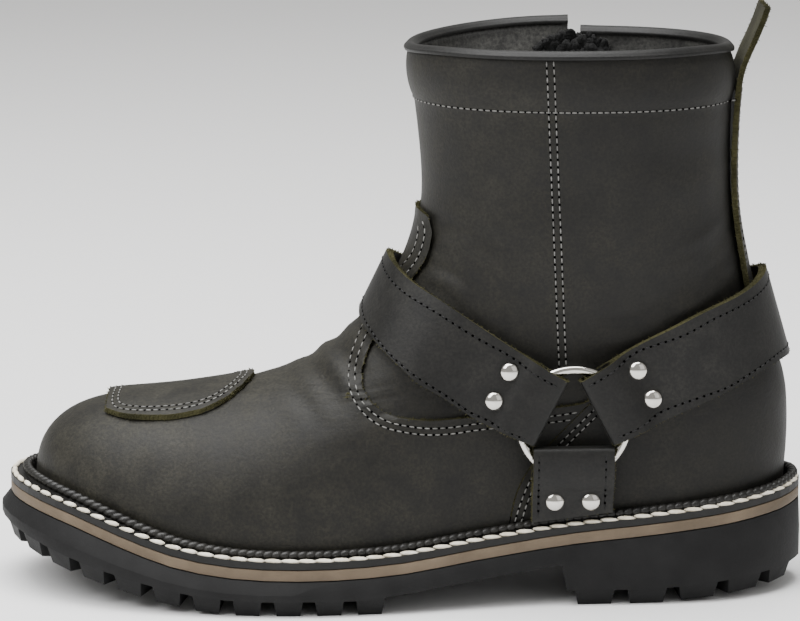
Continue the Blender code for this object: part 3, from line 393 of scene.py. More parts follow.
def plainMaterial(name, color, light, rough, scale, bump, specular=0.4):
    look, tree, shader = newMaterial(name)
    fine = noiseOf(tree, scale, 4.0)
    wide = noiseOf(tree, scale / 14, 4.0)
    first = rampOf(tree, wide, ((0.35, color), (0.65, light)))
    tree.links.new(first, shader.inputs["Base Color"])
    tree.links.new(rangeOf(tree, fine, rough - 0.07, rough + 0.09), shader.inputs["Roughness"])
    shader.inputs["Specular IOR Level"].default_value = specular
    addBump(tree, shader, ((wide, bump * 2), (fine, bump)))
    return look


def metalMaterial(name, color, rough):
    look, tree, shader = newMaterial(name)
    cloud = noiseOf(tree, 300.0, 3.0)
    tree.links.new(rampOf(tree, cloud, ((0.3, color), (0.8, tuple(c * 0.86 for c in color)))),
                   shader.inputs["Base Color"])
    tree.links.new(rangeOf(tree, cloud, rough * 0.7, rough * 1.5), shader.inputs["Roughness"])
    shader.inputs["Metallic"].default_value = 1.0
    addBump(tree, shader, ((cloud, 0.00002),))
    return look


# The upper's leather takes the fade: painted shade towards the heel
leather = leatherMaterial("oiledLeather", (0.0075, 0.0070, 0.0052), (0.0125, 0.0117, 0.0088),
                          (0.0220, 0.0208, 0.0160), 0.56, 0.00012, fade=0.50)
harness = leatherMaterial("harnessLeather", (0.0042, 0.0041, 0.0037), (0.0070, 0.0068, 0.0062),
                          (0.0120, 0.0117, 0.0108), 0.50, 0.00009)
binding = leatherMaterial("bindingLeather", (0.0034, 0.0034, 0.0033), (0.0060, 0.0060, 0.0058),
                          (0.0095, 0.0095, 0.0092), 0.50, 0.00007)
# Lining: the same dark leather painted several times lighter, painted light for the light that barely reaches
# inside the shaft
paintedLightLining = leatherMaterial("liningLeatherPaintedLight", (0.0420, 0.0420, 0.0410), (0.0650, 0.0650, 0.0640),
                         (0.0950, 0.0950, 0.0930), 0.36, 0.00008, specular=0.5)
rawEdge = plainMaterial("rawEdge", (0.022, 0.021, 0.008), (0.060, 0.056, 0.024), 0.92, 900.0, 0.00035,
                        specular=0.2)
flesh = plainMaterial("fleshSide", (0.014, 0.0135, 0.0075), (0.036, 0.034, 0.021), 0.95, 700.0, 0.00040,
                      specular=0.2)
rubber = plainMaterial("soleRubber", (0.0042, 0.0042, 0.0043), (0.0078, 0.0078, 0.0079), 0.66, 1100.0,
                       0.00009, specular=0.22)
midsoleLook = plainMaterial("midsoleLayer", (0.088, 0.064, 0.040), (0.140, 0.104, 0.068), 0.66, 700.0,
                            0.00012)
weltLook = plainMaterial("weltLeather", (0.005, 0.005, 0.0045), (0.010, 0.0095, 0.009), 0.55, 500.0,
                         0.00014, specular=0.3)
beadLook = plainMaterial("weltBead", (0.005, 0.0047, 0.0042), (0.012, 0.0112, 0.0095), 0.42, 900.0,
                         0.00012, specular=0.35)
creamThread = plainMaterial("creamThread", (0.60, 0.54, 0.42), (0.80, 0.75, 0.64), 0.72, 2200.0, 0.00010)
greyThread = plainMaterial("greyThread", (0.105, 0.104, 0.098), (0.190, 0.188, 0.178), 0.75, 2200.0,
                           0.00006)
blackThread = plainMaterial("blackThread", (0.003, 0.003, 0.003), (0.006, 0.006, 0.006), 0.5, 2200.0,
                            0.00006, specular=0.3)
# Needle holes: near-black with no reflection, painted shade standing in for the shadow inside a hole
holeShadeLook = plainMaterial("needleHoles", (0.0004, 0.0004, 0.0004), (0.0008, 0.0008, 0.0008), 0.95, 2200.0,
                         0.00002, specular=0.0)
nickel = metalMaterial("nickelPlate", (0.64, 0.62, 0.58), 0.12)
zipMetal = metalMaterial("zipMetal", (0.22, 0.21, 0.195), 0.33)
fleece = plainMaterial("fleece", (0.004, 0.004, 0.004), (0.011, 0.011, 0.011), 0.98, 900.0, 0.0009)
bedLook = plainMaterial("footBed", (0.012, 0.012, 0.012), (0.024, 0.024, 0.024), 0.9, 1300.0, 0.00015)
print("materials made")


# Camera, floor and light

cameraSizes = {"distance": 1.30, "height": 0.371, "pitch": 11.53, "lens": 155.7, "sensor": 36.0}
cameraData = bpy.data.cameras.new("camera")
camera = bpy.data.objects.new("camera", cameraData)
bpy.context.scene.collection.objects.link(camera)
camera.location = (0.0, -cameraSizes["distance"] + sideShift, cameraSizes["height"])
camera.rotation_euler = (math.radians(90.0 - cameraSizes["pitch"]), 0.0, 0.0)
cameraData.lens = cameraSizes["lens"]
cameraData.sensor_width = cameraSizes["sensor"]
bpy.context.scene.camera = camera

floorLook, _, floorShader = newMaterial("paleFloor")
floorShader.inputs["Base Color"].default_value = (0.86, 0.86, 0.86, 1.0)
floorShader.inputs["Roughness"].default_value = 0.9
deselectAll()
bpy.ops.mesh.primitive_plane_add(size=8.0)
floor = bpy.context.object
floor.name = "floor"
floor.data.materials.append(floorLook)

world = bpy.data.worlds.new("studio")
world.use_nodes = True
world.node_tree.nodes["Background"].inputs["Color"].default_value = (1.0, 0.985, 0.96, 1.0)
world.node_tree.nodes["Background"].inputs["Strength"].default_value = 0.50
bpy.context.scene.world = world

# Name, place, aim, size, power
lights = (
    ("keyLight", (-0.70, -0.62, 1.05), (-0.05, 0.0, 0.06), 0.8, 15.0),
    ("fillLight", (1.3, -1.2, 0.9), (0.05, 0.0, 0.10), 1.4, 4.0),
    ("topLight", (-0.15, -0.05, 1.7), (0.0, 0.0, 0.05), 1.3, 60.0),
)
for name, place, aim, size, power in lights:
    lamp = bpy.data.lights.new(name, "AREA")
    lamp.size = size
    lamp.energy = power
    holder = bpy.data.objects.new(name, lamp)
    holder.location = place
    holder.rotation_euler = (Vector(aim) - Vector(place)).to_track_quat("-Z", "Y").to_euler()
    bpy.context.scene.collection.objects.link(holder)
print("camera and light set")


# Leather parts from the frame

# Wrinkles in side view (x, z in metres): line, depth, width, side (0 both, -1 outer)
wrinkles = (
    (((-0.030, 0.098), (-0.020, 0.092), (-0.014, 0.084)), 0.0007, 0.0035, 0),
    (((-0.040, 0.090), (-0.030, 0.084), (-0.022, 0.076)), 0.0009, 0.0040, 0),
    (((-0.046, 0.083), (-0.036, 0.077), (-0.030, 0.069)), 0.0006, 0.0035, 0),
    (((0.012, 0.136), (0.022, 0.133), (0.034, 0.127)), 0.0008, 0.0030, 0),
    (((0.008, 0.129), (0.020, 0.127), (0.030, 0.120)), 0.0008, 0.0032, 0),
    (((0.012, 0.144), (0.026, 0.142), (0.038, 0.138)), 0.0005, 0.0030, 0),
    (((0.100, 0.121), (0.112, 0.126), (0.128, 0.136)), 0.0009, 0.0035, 0),
    (((0.094, 0.114), (0.108, 0.118), (0.124, 0.127)), 0.0008, 0.0032, 0),
    (((0.104, 0.130), (0.116, 0.135), (0.127, 0.143)), 0.0006, 0.0030, 0),
    (((0.072, 0.106), (0.086, 0.107), (0.100, 0.112)), 0.0005, 0.0035, 0),
    (((0.030, 0.165), (0.052, 0.160), (0.080, 0.163)), 0.0005, 0.0090, -1),
    (((0.085, 0.178), (0.104, 0.172), (0.124, 0.175)), 0.0005, 0.0080, -1),
    (((-0.112, 0.052), (-0.092, 0.049), (-0.070, 0.052)), 0.0004, 0.0070, -1),
)


wrinkleSizes = {"spacing": 0.0015, "ends": (0.04, 0.96), "fadePower": 0.7, "ridge": 0.55, "ridgePlace": 1.7,
                "ridgeWidth": 0.8}


def wrinkled(piece):
    # Soft troughs with a low ridge on each side of them
    mesh = piece.data
    count = len(mesh.vertices)
    places = np.empty(count * 3)
    mesh.vertices.foreach_get("co", places)
    places = places.reshape(-1, 3)
    normals = np.array([v.normal[:] for v in mesh.vertices])
    move = np.zeros(count)
    for line, depth, width, side in wrinkles:
        path = smoothLine(line, wrinkleSizes["spacing"])
        reach = np.full(count, 1.0)
        along = np.zeros(count)
        for i, (x, z) in enumerate(path):
            far = np.hypot(places[:, 0] - x, places[:, 2] - z)
            closer = far < reach
            reach = np.where(closer, far, reach)
            along = np.where(closer, i / (len(path) - 1), along)
        fade = np.sin(np.pi * np.clip(along, *wrinkleSizes["ends"])) ** wrinkleSizes["fadePower"]
        if side:
            fade = fade * (places[:, 1] * side > 0)
        ratio = reach / width
        beside = (ratio - wrinkleSizes["ridgePlace"]) / wrinkleSizes["ridgeWidth"]
        move -= depth * fade * (np.exp(-ratio ** 2) - wrinkleSizes["ridge"] * np.exp(-beside ** 2))
    places = places + normals * move[:, None]
    mesh.vertices.foreach_set("co", places.reshape(-1))
    mesh.update()


# Cut edges: sharpness in degrees, largest area, facing to the leather below, lowest place, clear of a ring
edgeSizes = {"sharp": 48, "area": 0.00011, "facing": 0.55, "lowest": 0.034, "ringClear": 0.0155}


def edgeFacesOf(piece, slotIndex):
    # Thin faces between two sharp edges take the raw edge's look
    work = bmesh.new()
    work.from_mesh(piece.data)
    for face in work.faces:
        sharp = [edge for edge in face.edges if edge.calc_face_angle(0.0) > math.radians(edgeSizes["sharp"])]
        if len(sharp) >= 2 and face.calc_area() < edgeSizes["area"]:
            face.material_index = slotIndex
    work.to_mesh(piece.data)
    work.free()


def facesWhere(piece, slotIndex, test):
    # Faces that pass a test of their middle and normal take another look
    for face in piece.data.polygons:
        if test(face.center, face.normal):
            face.material_index = slotIndex


def eased(piece, low, high, turns):
    # Relaxes the mesh inside a box
    makeActive(piece)
    bpy.ops.object.mode_set(mode="EDIT")
    bpy.ops.mesh.select_mode(type="VERT")
    bpy.ops.mesh.select_all(action="DESELECT")
    bpy.ops.object.mode_set(mode="OBJECT")
    for vertex in piece.data.vertices:
        vertex.select = all(low[k] < vertex.co[k] < high[k] for k in range(3))
    bpy.ops.object.mode_set(mode="EDIT")
    bpy.ops.mesh.vertices_smooth(factor=0.6, repeat=turns)
    bpy.ops.object.mode_set(mode="OBJECT")


collarSizes = {"zipRise": 0.0040, "outerRise": 0.0017, "from": 0.180, "to": 0.205, "zipX": 0.0685,
               "outerReach": 0.036, "zipAngle": 85.0, "puff": 0.0017, "puffFoot": 0.1885, "puffTop": 0.2065,
               "puffPower": 0.7, "facing": 0.2, "zipClear": 0.008, "rollLevel": 0.2085, "rollShare": 0.60}


def smoothStep(value):
    value = np.clip(value, 0.0, 1.0)
    return value * value * (3 - 2 * value)


def raisedCollar(piece):
    # The collar stands a little higher on the outer side, and in front of the zip
    for vertex in piece.data.vertices:
        x, y, z = vertex.co
        if z <= collarSizes["from"]:
            continue
        up = smoothStep((z - collarSizes["from"]) / (collarSizes["to"] - collarSizes["from"]))
        rise = collarSizes["outerRise"] * smoothStep(-y / collarSizes["outerReach"])
        if y > 0 and x < collarSizes["zipX"]:
            turn = math.degrees(math.atan2(y, shaftAxis.x - x))
            rise = collarSizes["zipRise"] * smoothStep(turn / collarSizes["zipAngle"])
        vertex.co.z += rise * up


def puffedCollar(piece):
    # The padded band between the stitch line and the binding swells, but not at the zip
    for vertex in piece.data.vertices:
        x, y, z = vertex.co
        share = (z - collarSizes["puffFoot"]) / (collarSizes["puffTop"] - collarSizes["puffFoot"])
        if not 0 < share < 1:
            continue
        out = Vector((x - shaftAxis.x, y - shaftAxis.y, 0.0)).normalized()
        atZip = y > 0 and abs(x - collarSizes["zipX"]) < collarSizes["zipClear"]
        if vertex.normal.dot(out) > collarSizes["facing"] and not atZip:
            vertex.co += out * collarSizes["puff"] * math.sin(math.pi * share) ** collarSizes["puffPower"]


def edgeLookOn(piece, slotIndex, base, keepOut=()):
    # Faces that stand across the leather beneath them are cut edges. Near a place in keepOut they aren't
    for face in piece.data.polygons:
        normal = base.find_nearest(face.center)[1]
        if abs(face.normal.dot(normal)) < edgeSizes["facing"] and face.center.z > edgeSizes["lowest"]:
            if all((face.center - middle).length > edgeSizes["ringClear"] for middle in keepOut):
                face.material_index = slotIndex


fuzzSizes = {"seed": 11, "perArea": 3.6e6, "length": 0.0013, "width": 0.00020, "upright": 0.6, "lean": 0.8,
             "shortest": 0.35, "spread": 0.4, "out": 0.35}


def fuzzOn(name, pieces, slotIndex, look):
    # Short fibres on the cut edges
    dice = np.random.RandomState(fuzzSizes["seed"])
    width = fuzzSizes["width"]
    points, faces = [], []
    spindle = ((0, 2, 4), (2, 1, 4), (1, 3, 4), (3, 0, 4), (2, 0, 5), (1, 2, 5), (3, 1, 5), (0, 3, 5))
    for piece in pieces:
        for face in piece.data.polygons:
            if face.material_index != slotIndex or dice.rand() > face.area * fuzzSizes["perArea"]:
                continue
            normal = Vector(face.normal)
            lean = Vector(dice.normal(size=3)) * fuzzSizes["lean"]
            ahead = (normal * fuzzSizes["upright"] + lean).normalized()
            side = ahead.orthogonal().normalized()
            over = ahead.cross(side)
            half = fuzzSizes["length"] * (fuzzSizes["shortest"] + fuzzSizes["spread"] * dice.rand())
            middle = face.center + ahead * half * fuzzSizes["out"]
            first = len(points)
            rays = (side * width, -side * width, over * width, -over * width, ahead * half, -ahead * half)
            points += [tuple(middle + ray) for ray in rays]
            faces += [tuple(first + k for k in corners) for corners in spindle]
    mesh = bpy.data.meshes.new(name)
    mesh.from_pydata(points, [], faces)
    piece = bpy.data.objects.new(name, mesh)
    bpy.context.scene.collection.objects.link(piece)
    mesh.materials.append(look)
    mesh.shade_smooth()
    return piece


# Boxes at the instep where the mesh is relaxed: the vamp's right across, the upper's on each side
vampEase = {"low": (-0.035, -0.060, 0.072), "high": (0.030, 0.060, 0.128), "turns": 45}
upperEase = {"x": (-0.019, 0.034), "y": (0.018, 0.060), "z": (0.070, 0.120), "turns": 160}
upperSizes = {"levels": 3, "sharp": 50, "kept": 0.90, "liningFoot": 0.085}
upperSmooth = smoothCopy("upper", "upperShell", upperSizes["levels"], upperSizes["sharp"])
for side in (-1, 1):
    low, high = sorted(side * y for y in upperEase["y"])
    eased(upperSmooth, (upperEase["x"][0], low, upperEase["z"][0]),
          (upperEase["x"][1], high, upperEase["z"][1]), upperEase["turns"])
wrinkled(upperSmooth)
puffedCollar(upperSmooth)
raisedCollar(upperSmooth)
thinned(upperSmooth, upperSizes["kept"])
upperTree = treeOf(upperSmooth)
# Inner faces above liningFoot take the lining, painted lighter as painted light
setMaterials(upperSmooth, leather, paintedLightLining)
facesWhere(upperSmooth, 1, lambda c, n: c.z > upperSizes["liningFoot"]
           and n.x * (c.x - shaftAxis.x) + n.y * (c.y - shaftAxis.y) < 0)
finishPiece(upperSmooth, ("upper",))

# Node of each overlay: its piece's name and its levels of subdivision
overlays = {"vamp": ("vampPanel", 3), "counter": ("counterPanel", 2), "shift_pad": ("padPanel", 2)}
panels = {}
for node, (name, levels) in overlays.items():
    panel = copyOfNode(node, name)
    setMaterials(panel, leather, rawEdge)
    creaseSharp(panel, edgeSizes["sharp"])
    subdivided(panel, levels)
    if node == "vamp":
        eased(panel, vampEase["low"], vampEase["high"], vampEase["turns"])
    wrinkled(panel)
    edgeLookOn(panel, 1, upperTree)
    smoothByAngle(panel)
    finishPiece(panel, (node,))
    panels[node] = panel
print("upper and overlays made")

rim = smoothCopy("collar_binding", "collarRoll", 2, 70)
for vertex in rim.data.vertices:
    vertex.co.z += max(collarSizes["rollLevel"] - vertex.co.z, 0.0) * collarSizes["rollShare"]
raisedCollar(rim)
setMaterials(rim, binding)
finishPiece(rim, ("collar_binding",))

# The front of the pull tab, above tabFoot, shows the leather's flesh side
staySizes = {"tabFoot": 0.190, "tabFacing": -0.5}
stay = copyOfNode("backstay", "backStrip")
setMaterials(stay, leather, rawEdge, flesh)
edgeFacesOf(stay, 1)
creaseSharp(stay, edgeSizes["sharp"])
subdivided(stay, 3)
facesWhere(stay, 2, lambda c, n: c.z > staySizes["tabFoot"] and n.x < staySizes["tabFacing"])
smoothByAngle(stay)
finishPiece(stay, ("backstay",))

straps = {}
ringMiddles = [(Vector(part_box(node)[0]) + Vector(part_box(node)[1])) / 2
               for node in ("ring_outer", "ring_inner")]
for node in ("instep_strap", "heel_strap", "side_strap_outer", "side_strap_inner"):
    strap = copyOfNode(node, node + "_band")
    setMaterials(strap, harness, rawEdge)
    creaseSharp(strap, 60)
    subdivided(strap, 2)
    edgeLookOn(strap, 1, upperTree, ringMiddles)
    smoothByAngle(strap)
    finishPiece(strap, (node,))
    straps[node] = strap
edgeFuzz = fuzzOn("edgeFuzz", list(panels.values()) + list(straps.values()) + [stay], 1, rawEdge)
finishPiece(edgeFuzz, None)
print("binding, backstay and straps made")


# Sole

soleSizes = {"bevel": 0.0005, "smooth": 40}
outsole = bevelled(copyOfNode("outsole", "outsoleBlock"), soleSizes["bevel"])
smoothByAngle(outsole, soleSizes["smooth"])
setMaterials(outsole, rubber)
finishPiece(outsole, ("outsole",))
midsole = bevelled(copyOfNode("midsole", "midsoleLayer"), soleSizes["bevel"])
smoothByAngle(midsole, soleSizes["smooth"])
setMaterials(midsole, midsoleLook)
finishPiece(midsole, ("midsole",))
footBed = smoothCopy("insole", "footBedLayer", 1, 45)
setMaterials(footBed, bedLook)
finishPiece(footBed, ("insole",))
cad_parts["welt"].data.materials.clear()
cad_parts["welt"].data.materials.append(weltLook)

# Margins at the toe, side and heel, each blend's start and span as shares of the sole, seat and thickness
weltSizes = {"toe": 0.0083, "side": 0.0062, "heel": 0.0042, "toeBlend": (0.02, 0.30),
             "heelBlend": (0.62, 0.36), "seat": 0.0003, "thickness": 0.0026}
beadSizes = {"width": 0.0030, "gap": 0.0002, "rise": 0.0019, "size": (0.0062, 0.0033, 0.0033), "twist": 24}
lockSizes = {"pitch": 0.0064, "inset": 0.0011, "share": 0.08, "rise": 0.0003,
             "size": (0.0075, 0.0020, 0.0020), "twist": -8}


def soleEdge():
    # Upper outline of the midsole, in order round the boot
    places = np.array([v.co[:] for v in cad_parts["midsole"].data.vertices])
    places = np.unique(np.round(places, 6), axis=0)
    keep = []
    for x, y, z in places:
        above = (np.hypot(places[:, 0] - x, places[:, 1] - y) < 1e-4) & (places[:, 2] > z + 1e-4)
        if not above.any():
            keep.append((x, y, z))
    keep = np.array(keep)
    widening = 2.8        # makes the plan about as wide as long, so that angles run evenly round it
    order = np.argsort(np.arctan2(keep[:, 1] * widening, keep[:, 0]))
    return keep[order]


def weltLine(inset, rise, spacing):
    # Closed line round the welt. Inset gives the distance in from the sole's edge for each margin
    edge = soleEdge()
    closed = np.concatenate((edge[-2:], edge, edge[:2]))
    line = smoothLine(closed, 0.002)
    line = line[1:]
    ahead = np.gradient(line[:, :2], axis=0)
    ahead /= np.linalg.norm(ahead, axis=1)[:, None]
    inward = np.stack([-ahead[:, 1], ahead[:, 0]], axis=1)
    share = line[:, 0] / soleLength + 0.5
    toeStart, toeSpan = weltSizes["toeBlend"]
    heelStart, heelSpan = weltSizes["heelBlend"]
    toe = 1 - smoothStep((share - toeStart) / toeSpan)
    heel = smoothStep((share - heelStart) / heelSpan)
    margin = (weltSizes["side"] + (weltSizes["toe"] - weltSizes["side"]) * toe
              + (weltSizes["heel"] - weltSizes["side"]) * heel)
    moved = line.copy()
    moved[:, :2] += inward * inset(margin)[:, None]
    moved[:, 2] += rise
    even = evenly(moved, spacing)
    return [(Vector(p), Vector((0, 0, 1))) for p in even]


weltTop = weltSizes["seat"] + weltSizes["thickness"]
beadLine = weltLine(lambda margin: margin - beadSizes["width"] / 2 - beadSizes["gap"],
                    weltTop + beadSizes["rise"], lockSizes["pitch"] / 2)
bead = stitchMesh("weltBeadRidges", [beadLine], beadSizes["size"], beadLook, 0.0,
                  math.radians(beadSizes["twist"]))
finishPiece(bead, None)
stitchLine = weltLine(lambda margin: lockSizes["inset"] + (margin - weltSizes["heel"]) * lockSizes["share"],
                      weltTop + lockSizes["rise"], lockSizes["pitch"])
lockStitch = stitchMesh("weltStitches", [stitchLine], lockSizes["size"], creamThread, 0.0,
                        math.radians(lockSizes["twist"]))
finishPiece(lockStitch, None)
print("sole made")


# Metal

def planeOfNode(node):
    # Centre and outward unit normal of a flat node
    places = np.array([v.co[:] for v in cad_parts[node].data.vertices])
    low, high = places.min(axis=0), places.max(axis=0)
    middle = (low + high) / 2
    normal = np.linalg.svd(places - places.mean(axis=0), full_matrices=False)[2][2]
    if normal[1] * middle[1] < 0:
        normal = -normal
    return Vector(middle), Vector(normal)


def applyPlace(piece):
    makeActive(piece)
    bpy.ops.object.transform_apply(location=True, rotation=True, scale=True)


ringSizes = {"radius": 0.0203, "wire": 0.00175}
for tag in ("outer", "inner"):
    middle, normal = planeOfNode(f"ring_{tag}")
    deselectAll()
    bpy.ops.mesh.primitive_torus_add(major_segments=96, minor_segments=20, major_radius=ringSizes["radius"],
                                     minor_radius=ringSizes["wire"], location=middle,
                                     rotation=normal.to_track_quat("Z", "Y").to_euler())
    ring = bpy.context.object
    ring.name = f"ring_{tag}_wire"
    applyPlace(ring)
    ring.data.shade_smooth()
    setMaterials(ring, nickel)
    finishPiece(ring, (f"ring_{tag}",))

rivetSizes = {"radius": 0.0037, "height": 0.0021, "sink": 0.0007}
for tag in ("outer", "inner"):
    normal = planeOfNode(f"ring_{tag}")[1]
    for number in range(1, 7):
        node = f"rivet_{tag}_{number}"
        low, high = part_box(node)
        middle = (Vector(low) + Vector(high)) / 2 - normal * rivetSizes["sink"]
        deselectAll()
        bpy.ops.mesh.primitive_uv_sphere_add(segments=32, ring_count=16, radius=1.0)
        rivet = bpy.context.object
        rivet.name = f"rivet_{tag}_{number}_dome"
        bpy.ops.object.mode_set(mode="EDIT")
        bpy.ops.mesh.select_all(action="SELECT")
        bpy.ops.mesh.bisect(plane_co=(0, 0, 0), plane_no=(0, 0, 1), clear_inner=True, use_fill=True)
        bpy.ops.object.mode_set(mode="OBJECT")
        rivet.scale = (rivetSizes["radius"], rivetSizes["radius"], rivetSizes["height"])
        rivet.location = middle
        rivet.rotation_euler = normal.to_track_quat("Z", "Y").to_euler()
        applyPlace(rivet)
        smoothByAngle(rivet, 50)
        setMaterials(rivet, nickel)
        finishPiece(rivet, (node,))
print("metal made")


# Stitches. Edges of the vamp and the counter in side view: x and z in metres
vampEdge = ((0.0060, 0.1475), (0.0095, 0.1460), (0.0121, 0.1405), (0.0093, 0.1289), (0.0018, 0.1180),
            (-0.0050, 0.1080), (-0.0113, 0.0973), (-0.0144, 0.0881), (-0.0128, 0.0807), (-0.0057, 0.0746),
            (0.0077, 0.0715), (0.0188, 0.0714), (0.0290, 0.0726), (0.0573, 0.0748), (0.0694, 0.0766))
counterEdge = ((0.0744, 0.0795), (0.0582, 0.0632), (0.0486, 0.0519), (0.0433, 0.0404), (0.0400, 0.0290))
vampTrees = [treeOf(panels["vamp"])]
counterTrees = [treeOf(panels["counter"])]
stayTree = treeOf(stay)

rows = []
for k in range(2):
    away = stitchSizes["inset"] + k * stitchSizes["spacing"]
    line = evenly(offsetLine(smoothLine(vampEdge, 0.001), away), stitchSizes["pitch"])
    for side in (-1, 1):
        rows.append(castFromSide(line, side, vampTrees))
    line = evenly(offsetLine(smoothLine(counterEdge, 0.001), -away), stitchSizes["pitch"])
    for side in (-1, 1):
        rows.append(castFromSide(line, side, counterTrees))
sewn("panelStitches", rows, greyThread)

seam = {"top": (0.0546, 0.2085), "middle": (0.0578, 0.150), "foot": (0.0612, 0.088), "gap": 0.0026}
collarSeam = {"height": 0.1890, "from": 96.0, "to": 447.0, "step": 2.9}
staySeam = {"halves": (0.0106, 0.0086), "radius": 0.066, "foot": 0.1270, "top": 0.1960}
rows = []
for k in (0, 1):
    line = smoothLine((seam["top"], seam["middle"], seam["foot"]), 0.001)
    line = evenly(offsetLine(line, (k - 0.5) * seam["gap"]), stitchSizes["pitch"])
    rows.append(castFromSide(line, -1, [upperTree]))
collarAngles = np.arange(collarSeam["from"], collarSeam["to"], collarSeam["step"])
rows.append(castToAxis([(angle, collarSeam["height"]) for angle in collarAngles], [upperTree, stayTree]))
for side in (-1, 1):
    for half in staySeam["halves"]:
        angle = math.degrees(side * half / staySeam["radius"])
        down = [(angle, z) for z in np.arange(staySeam["foot"], staySeam["top"], stitchSizes["pitch"])]
        rows.append(castToAxis(down, [stayTree]))
sewn("shaftStitches", rows, greyThread)

# Toe pad, in plan: along and half width from the foot's ridge
padEdge = ((-0.1125, 0.0), (-0.1125, 0.0179), (-0.1054, 0.0232), (-0.0955, 0.0255), (-0.0831, 0.0262),
           (-0.0719, 0.0244), (-0.0639, 0.0185), (-0.0580, 0.0084), (-0.0564, 0.0))
padSizes = {"middle": -0.0855, "shares": (0.91, 0.83), "swing": 0.009, "swingStart": 0.05,
            "swingSpan": 0.55}
padTrees = [treeOf(panels["shift_pad"])]


def ridgeSwing(x):
    # The foot's ridge swings to the inner side towards the toe
    return padSizes["swing"] * smoothStep((padSizes["swingStart"] - x / soleLength) / padSizes["swingSpan"])


rows = []
for share in padSizes["shares"]:
    half = [(padSizes["middle"] + (x - padSizes["middle"]) * share, width * share) for x, width in padEdge]
    outline = [(x, -width) for x, width in half] + [(x, width) for x, width in half[-2::-1]]
    line = [(x, y + sideShift + ridgeSwing(x)) for x, y in smoothLine(outline, 0.001)]
    rows.append(evenHits(castDown(line, padTrees), stitchSizes["pitch"]))
sewn("padStitches", rows, greyThread)

# Lower and upper edges of the long straps: angle round the shaft in degrees and height in millimetres.
# The last value is the way the strap leaves the ring: -1 to the toe, 1 to the heel
strapEdges = {
    "instep_strap": (((-142, 81.6), (-151, 90.6), (-160, 98.1), (-168, 102.9), (-181, 107.8), (-193, 102.7),
                      (-199, 97.6), (-206, 89.2), (-211, 80.8)),
                     ((-133, 106.4), (-146, 115.2), (-159, 121.7), (-170, 126.5), (-181, 129.4), (-193, 126.4),
                      (-203, 121.3), (-214, 114.5), (-226, 105.5)), -1),
    "heel_strap": (((-31, 78.9), (-22, 84.4), (-14, 88.5), (-8, 89.9), (3, 89.9), (10, 89.9), (17, 88.4),
                    (24, 84.3), (33, 78.9)),
                   ((-42, 106.1), (-32, 112.0), (-21, 116.3), (-8, 121.0), (2, 123.8), (11, 121.1),
                    (23, 116.3), (34, 111.9), (44, 105.8)), 1),
}
strapSizes = {"angle": 27.6, "base": 0.0142, "peak": 0.0130, "spread": 0.0017, "fold": 0.0110,
              "flat": 0.0345, "foldEnd": 0.009, "inset": 0.0027, "slant": 1.12, "out": 0.040, "wall": 0.06,
              "perRadian": 57.3, "sideHalf": 0.01525, "sideTop": 0.0600, "sideFoot": 0.0345,
              "ringX": 0.0645, "ringZ": 0.0712}


def ringPlanePath(heading, edge, side):
    # Edge of a strap's end beside the ring, as angle and height, from the fold outwards
    rise = math.radians(strapSizes["angle"])
    path = []
    for reach in np.linspace(strapSizes["fold"], strapSizes["flat"], 9):
        foldEnd = strapSizes["foldEnd"]
        gain = strapSizes["spread"] * (reach - foldEnd) / (strapSizes["flat"] - foldEnd)
        aside = strapSizes["peak"] + gain if edge > 0 else -strapSizes["base"] - gain
        aside -= edge * strapSizes["inset"]
        x = strapSizes["ringX"] + heading * (reach * math.cos(rise) - aside * math.sin(rise))
        z = strapSizes["ringZ"] + reach * math.sin(rise) + aside * math.cos(rise)
        angle = math.degrees(math.atan2(side * strapSizes["out"], x - shaftAxis.x))
        path.append((angle, z))
    return path


rows = []
for node, (low, high, heading) in strapEdges.items():
    trees = [treeOf(straps[node])]
    for edge, table in ((-1, low), (1, high)):
        run = [(angle, z / 1000 - edge * strapSizes["inset"] * strapSizes["slant"]) for angle, z in table]
        start = ringPlanePath(heading, edge, -1)
        end = ringPlanePath(heading, edge, 1)
        turn = 360.0 if heading < 0 else 0.0
        end = [(angle - turn, z) for angle, z in end]
        perRadian, wall = strapSizes["perRadian"], strapSizes["wall"]
        path = smoothLine([(a / perRadian * wall, z) for a, z in start + run + end[::-1]], 0.0012)
        hits = castToAxis([(a * perRadian / wall, z) for a, z in path], trees)
        rows.append(evenHits(hits, stitchSizes["pitch"]))
for side, tag in ((-1, "outer"), (1, "inner")):
    trees = [treeOf(straps[f"side_strap_{tag}"])]
    for edge in (-1, 1):
        x = strapSizes["ringX"] + edge * (strapSizes["sideHalf"] - strapSizes["inset"])
        line = [(x, z) for z in np.linspace(strapSizes["sideTop"], strapSizes["sideFoot"], 20)]
        rows.append(evenHits(castFromSide(line, side, trees), stitchSizes["pitch"]))
sewn("strapStitches", rows, blackThread)
print("stitches made")


# Zip on the inner side, with a fleece flap behind it
zipSizes = {"x": 0.068, "low": 0.1105, "high": 0.2015, "pitch": 0.0024, "aside": 0.0006,
            "tooth": (0.0013, 0.0022, 0.0016), "toothLift": 0.0002, "tapeBevel": 0.0002, "castBevel": 0.00035}
chain = bevelled(copyOfNode("zip_chain", "zipTape"), zipSizes["tapeBevel"])
setMaterials(chain, blackThread)
finishPiece(chain, ("zip_chain",))
chainTrees = [treeOf(chain)]
rows = []
for k, aside in enumerate((-zipSizes["aside"], zipSizes["aside"])):
    heights = np.arange(zipSizes["low"] + k * zipSizes["pitch"] / 2, zipSizes["high"], zipSizes["pitch"])
    rows.append(castFromSide([(zipSizes["x"] + aside, z) for z in heights], 1, chainTrees))
teeth = stitchMesh("zipTeeth", rows, zipSizes["tooth"], zipMetal, zipSizes["toothLift"])
finishPiece(teeth, None)
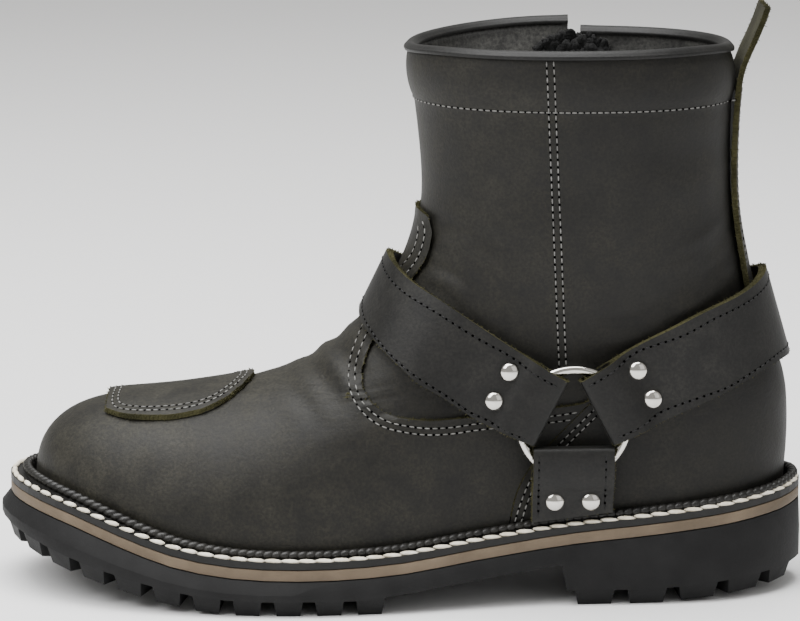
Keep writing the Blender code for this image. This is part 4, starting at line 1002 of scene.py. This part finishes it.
for node, body in (("zip_slider", "boot"), ("zip_pull", "pull")):
    part = bevelled(copyOfNode(node, node + "_cast"), zipSizes["castBevel"])
    smoothByAngle(part, 40)
    setMaterials(part, zipMetal)
    finishPiece(part, (node,), body)

flapSizes = {"half": 0.015, "shift": 0.001, "foot": 0.150, "top": 0.2075, "slot": 0.006, "proud": 0.0016,
             "gap": 0.0008, "fine": 0.0012, "fineScale": 800.0, "wide": 0.0016, "wideScale": 330.0,
             "drop": 0.0050, "dropPower": 2.5, "rise": 1.6, "thickness": 0.0009}
deselectAll()
bpy.ops.mesh.primitive_grid_add(x_subdivisions=60, y_subdivisions=120, size=1.0)
flap = bpy.context.object
flap.name = "fleeceFlap"
for vertex in flap.data.vertices:
    across, up = vertex.co.x, vertex.co.y + 0.5
    x = zipSizes["x"] - flapSizes["shift"] + across * 2 * flapSizes["half"]
    z = flapSizes["foot"] + up * (flapSizes["top"] - flapSizes["foot"])
    # In the slot there is no wall, so its place is taken from beside the slot
    near = zipSizes["x"] + (flapSizes["slot"] if x > zipSizes["x"] else -flapSizes["slot"])
    probe = x if abs(x - zipSizes["x"]) > flapSizes["slot"] else near
    hit = upperTree.ray_cast(Vector((probe, 0.0, z)), Vector((0, 1, 0)))[0]
    fuzz = (noise.noise(Vector((x, z, 0.0)) * flapSizes["fineScale"]) * flapSizes["fine"]
            + noise.noise(Vector((z, x, 3.0)) * flapSizes["wideScale"]) * flapSizes["wide"])
    drop = flapSizes["drop"] * abs(across * 2) ** flapSizes["dropPower"] * up
    y = hit.y - flapSizes["proud"] - flapSizes["gap"] - fuzz
    vertex.co = (x, y, z - drop + fuzz * flapSizes["rise"] * up)
thick = flap.modifiers.new("thickness", "SOLIDIFY")
thick.thickness = flapSizes["thickness"]
thick.offset = 1.0
applyModifiers(flap)
bpy.ops.object.mode_set(mode="EDIT")
bpy.ops.mesh.select_all(action="SELECT")
bpy.ops.mesh.normals_make_consistent(inside=False)
bpy.ops.object.mode_set(mode="OBJECT")
flap.data.shade_smooth()
setMaterials(flap, fleece)
finishPiece(flap, None)
print("zip made")
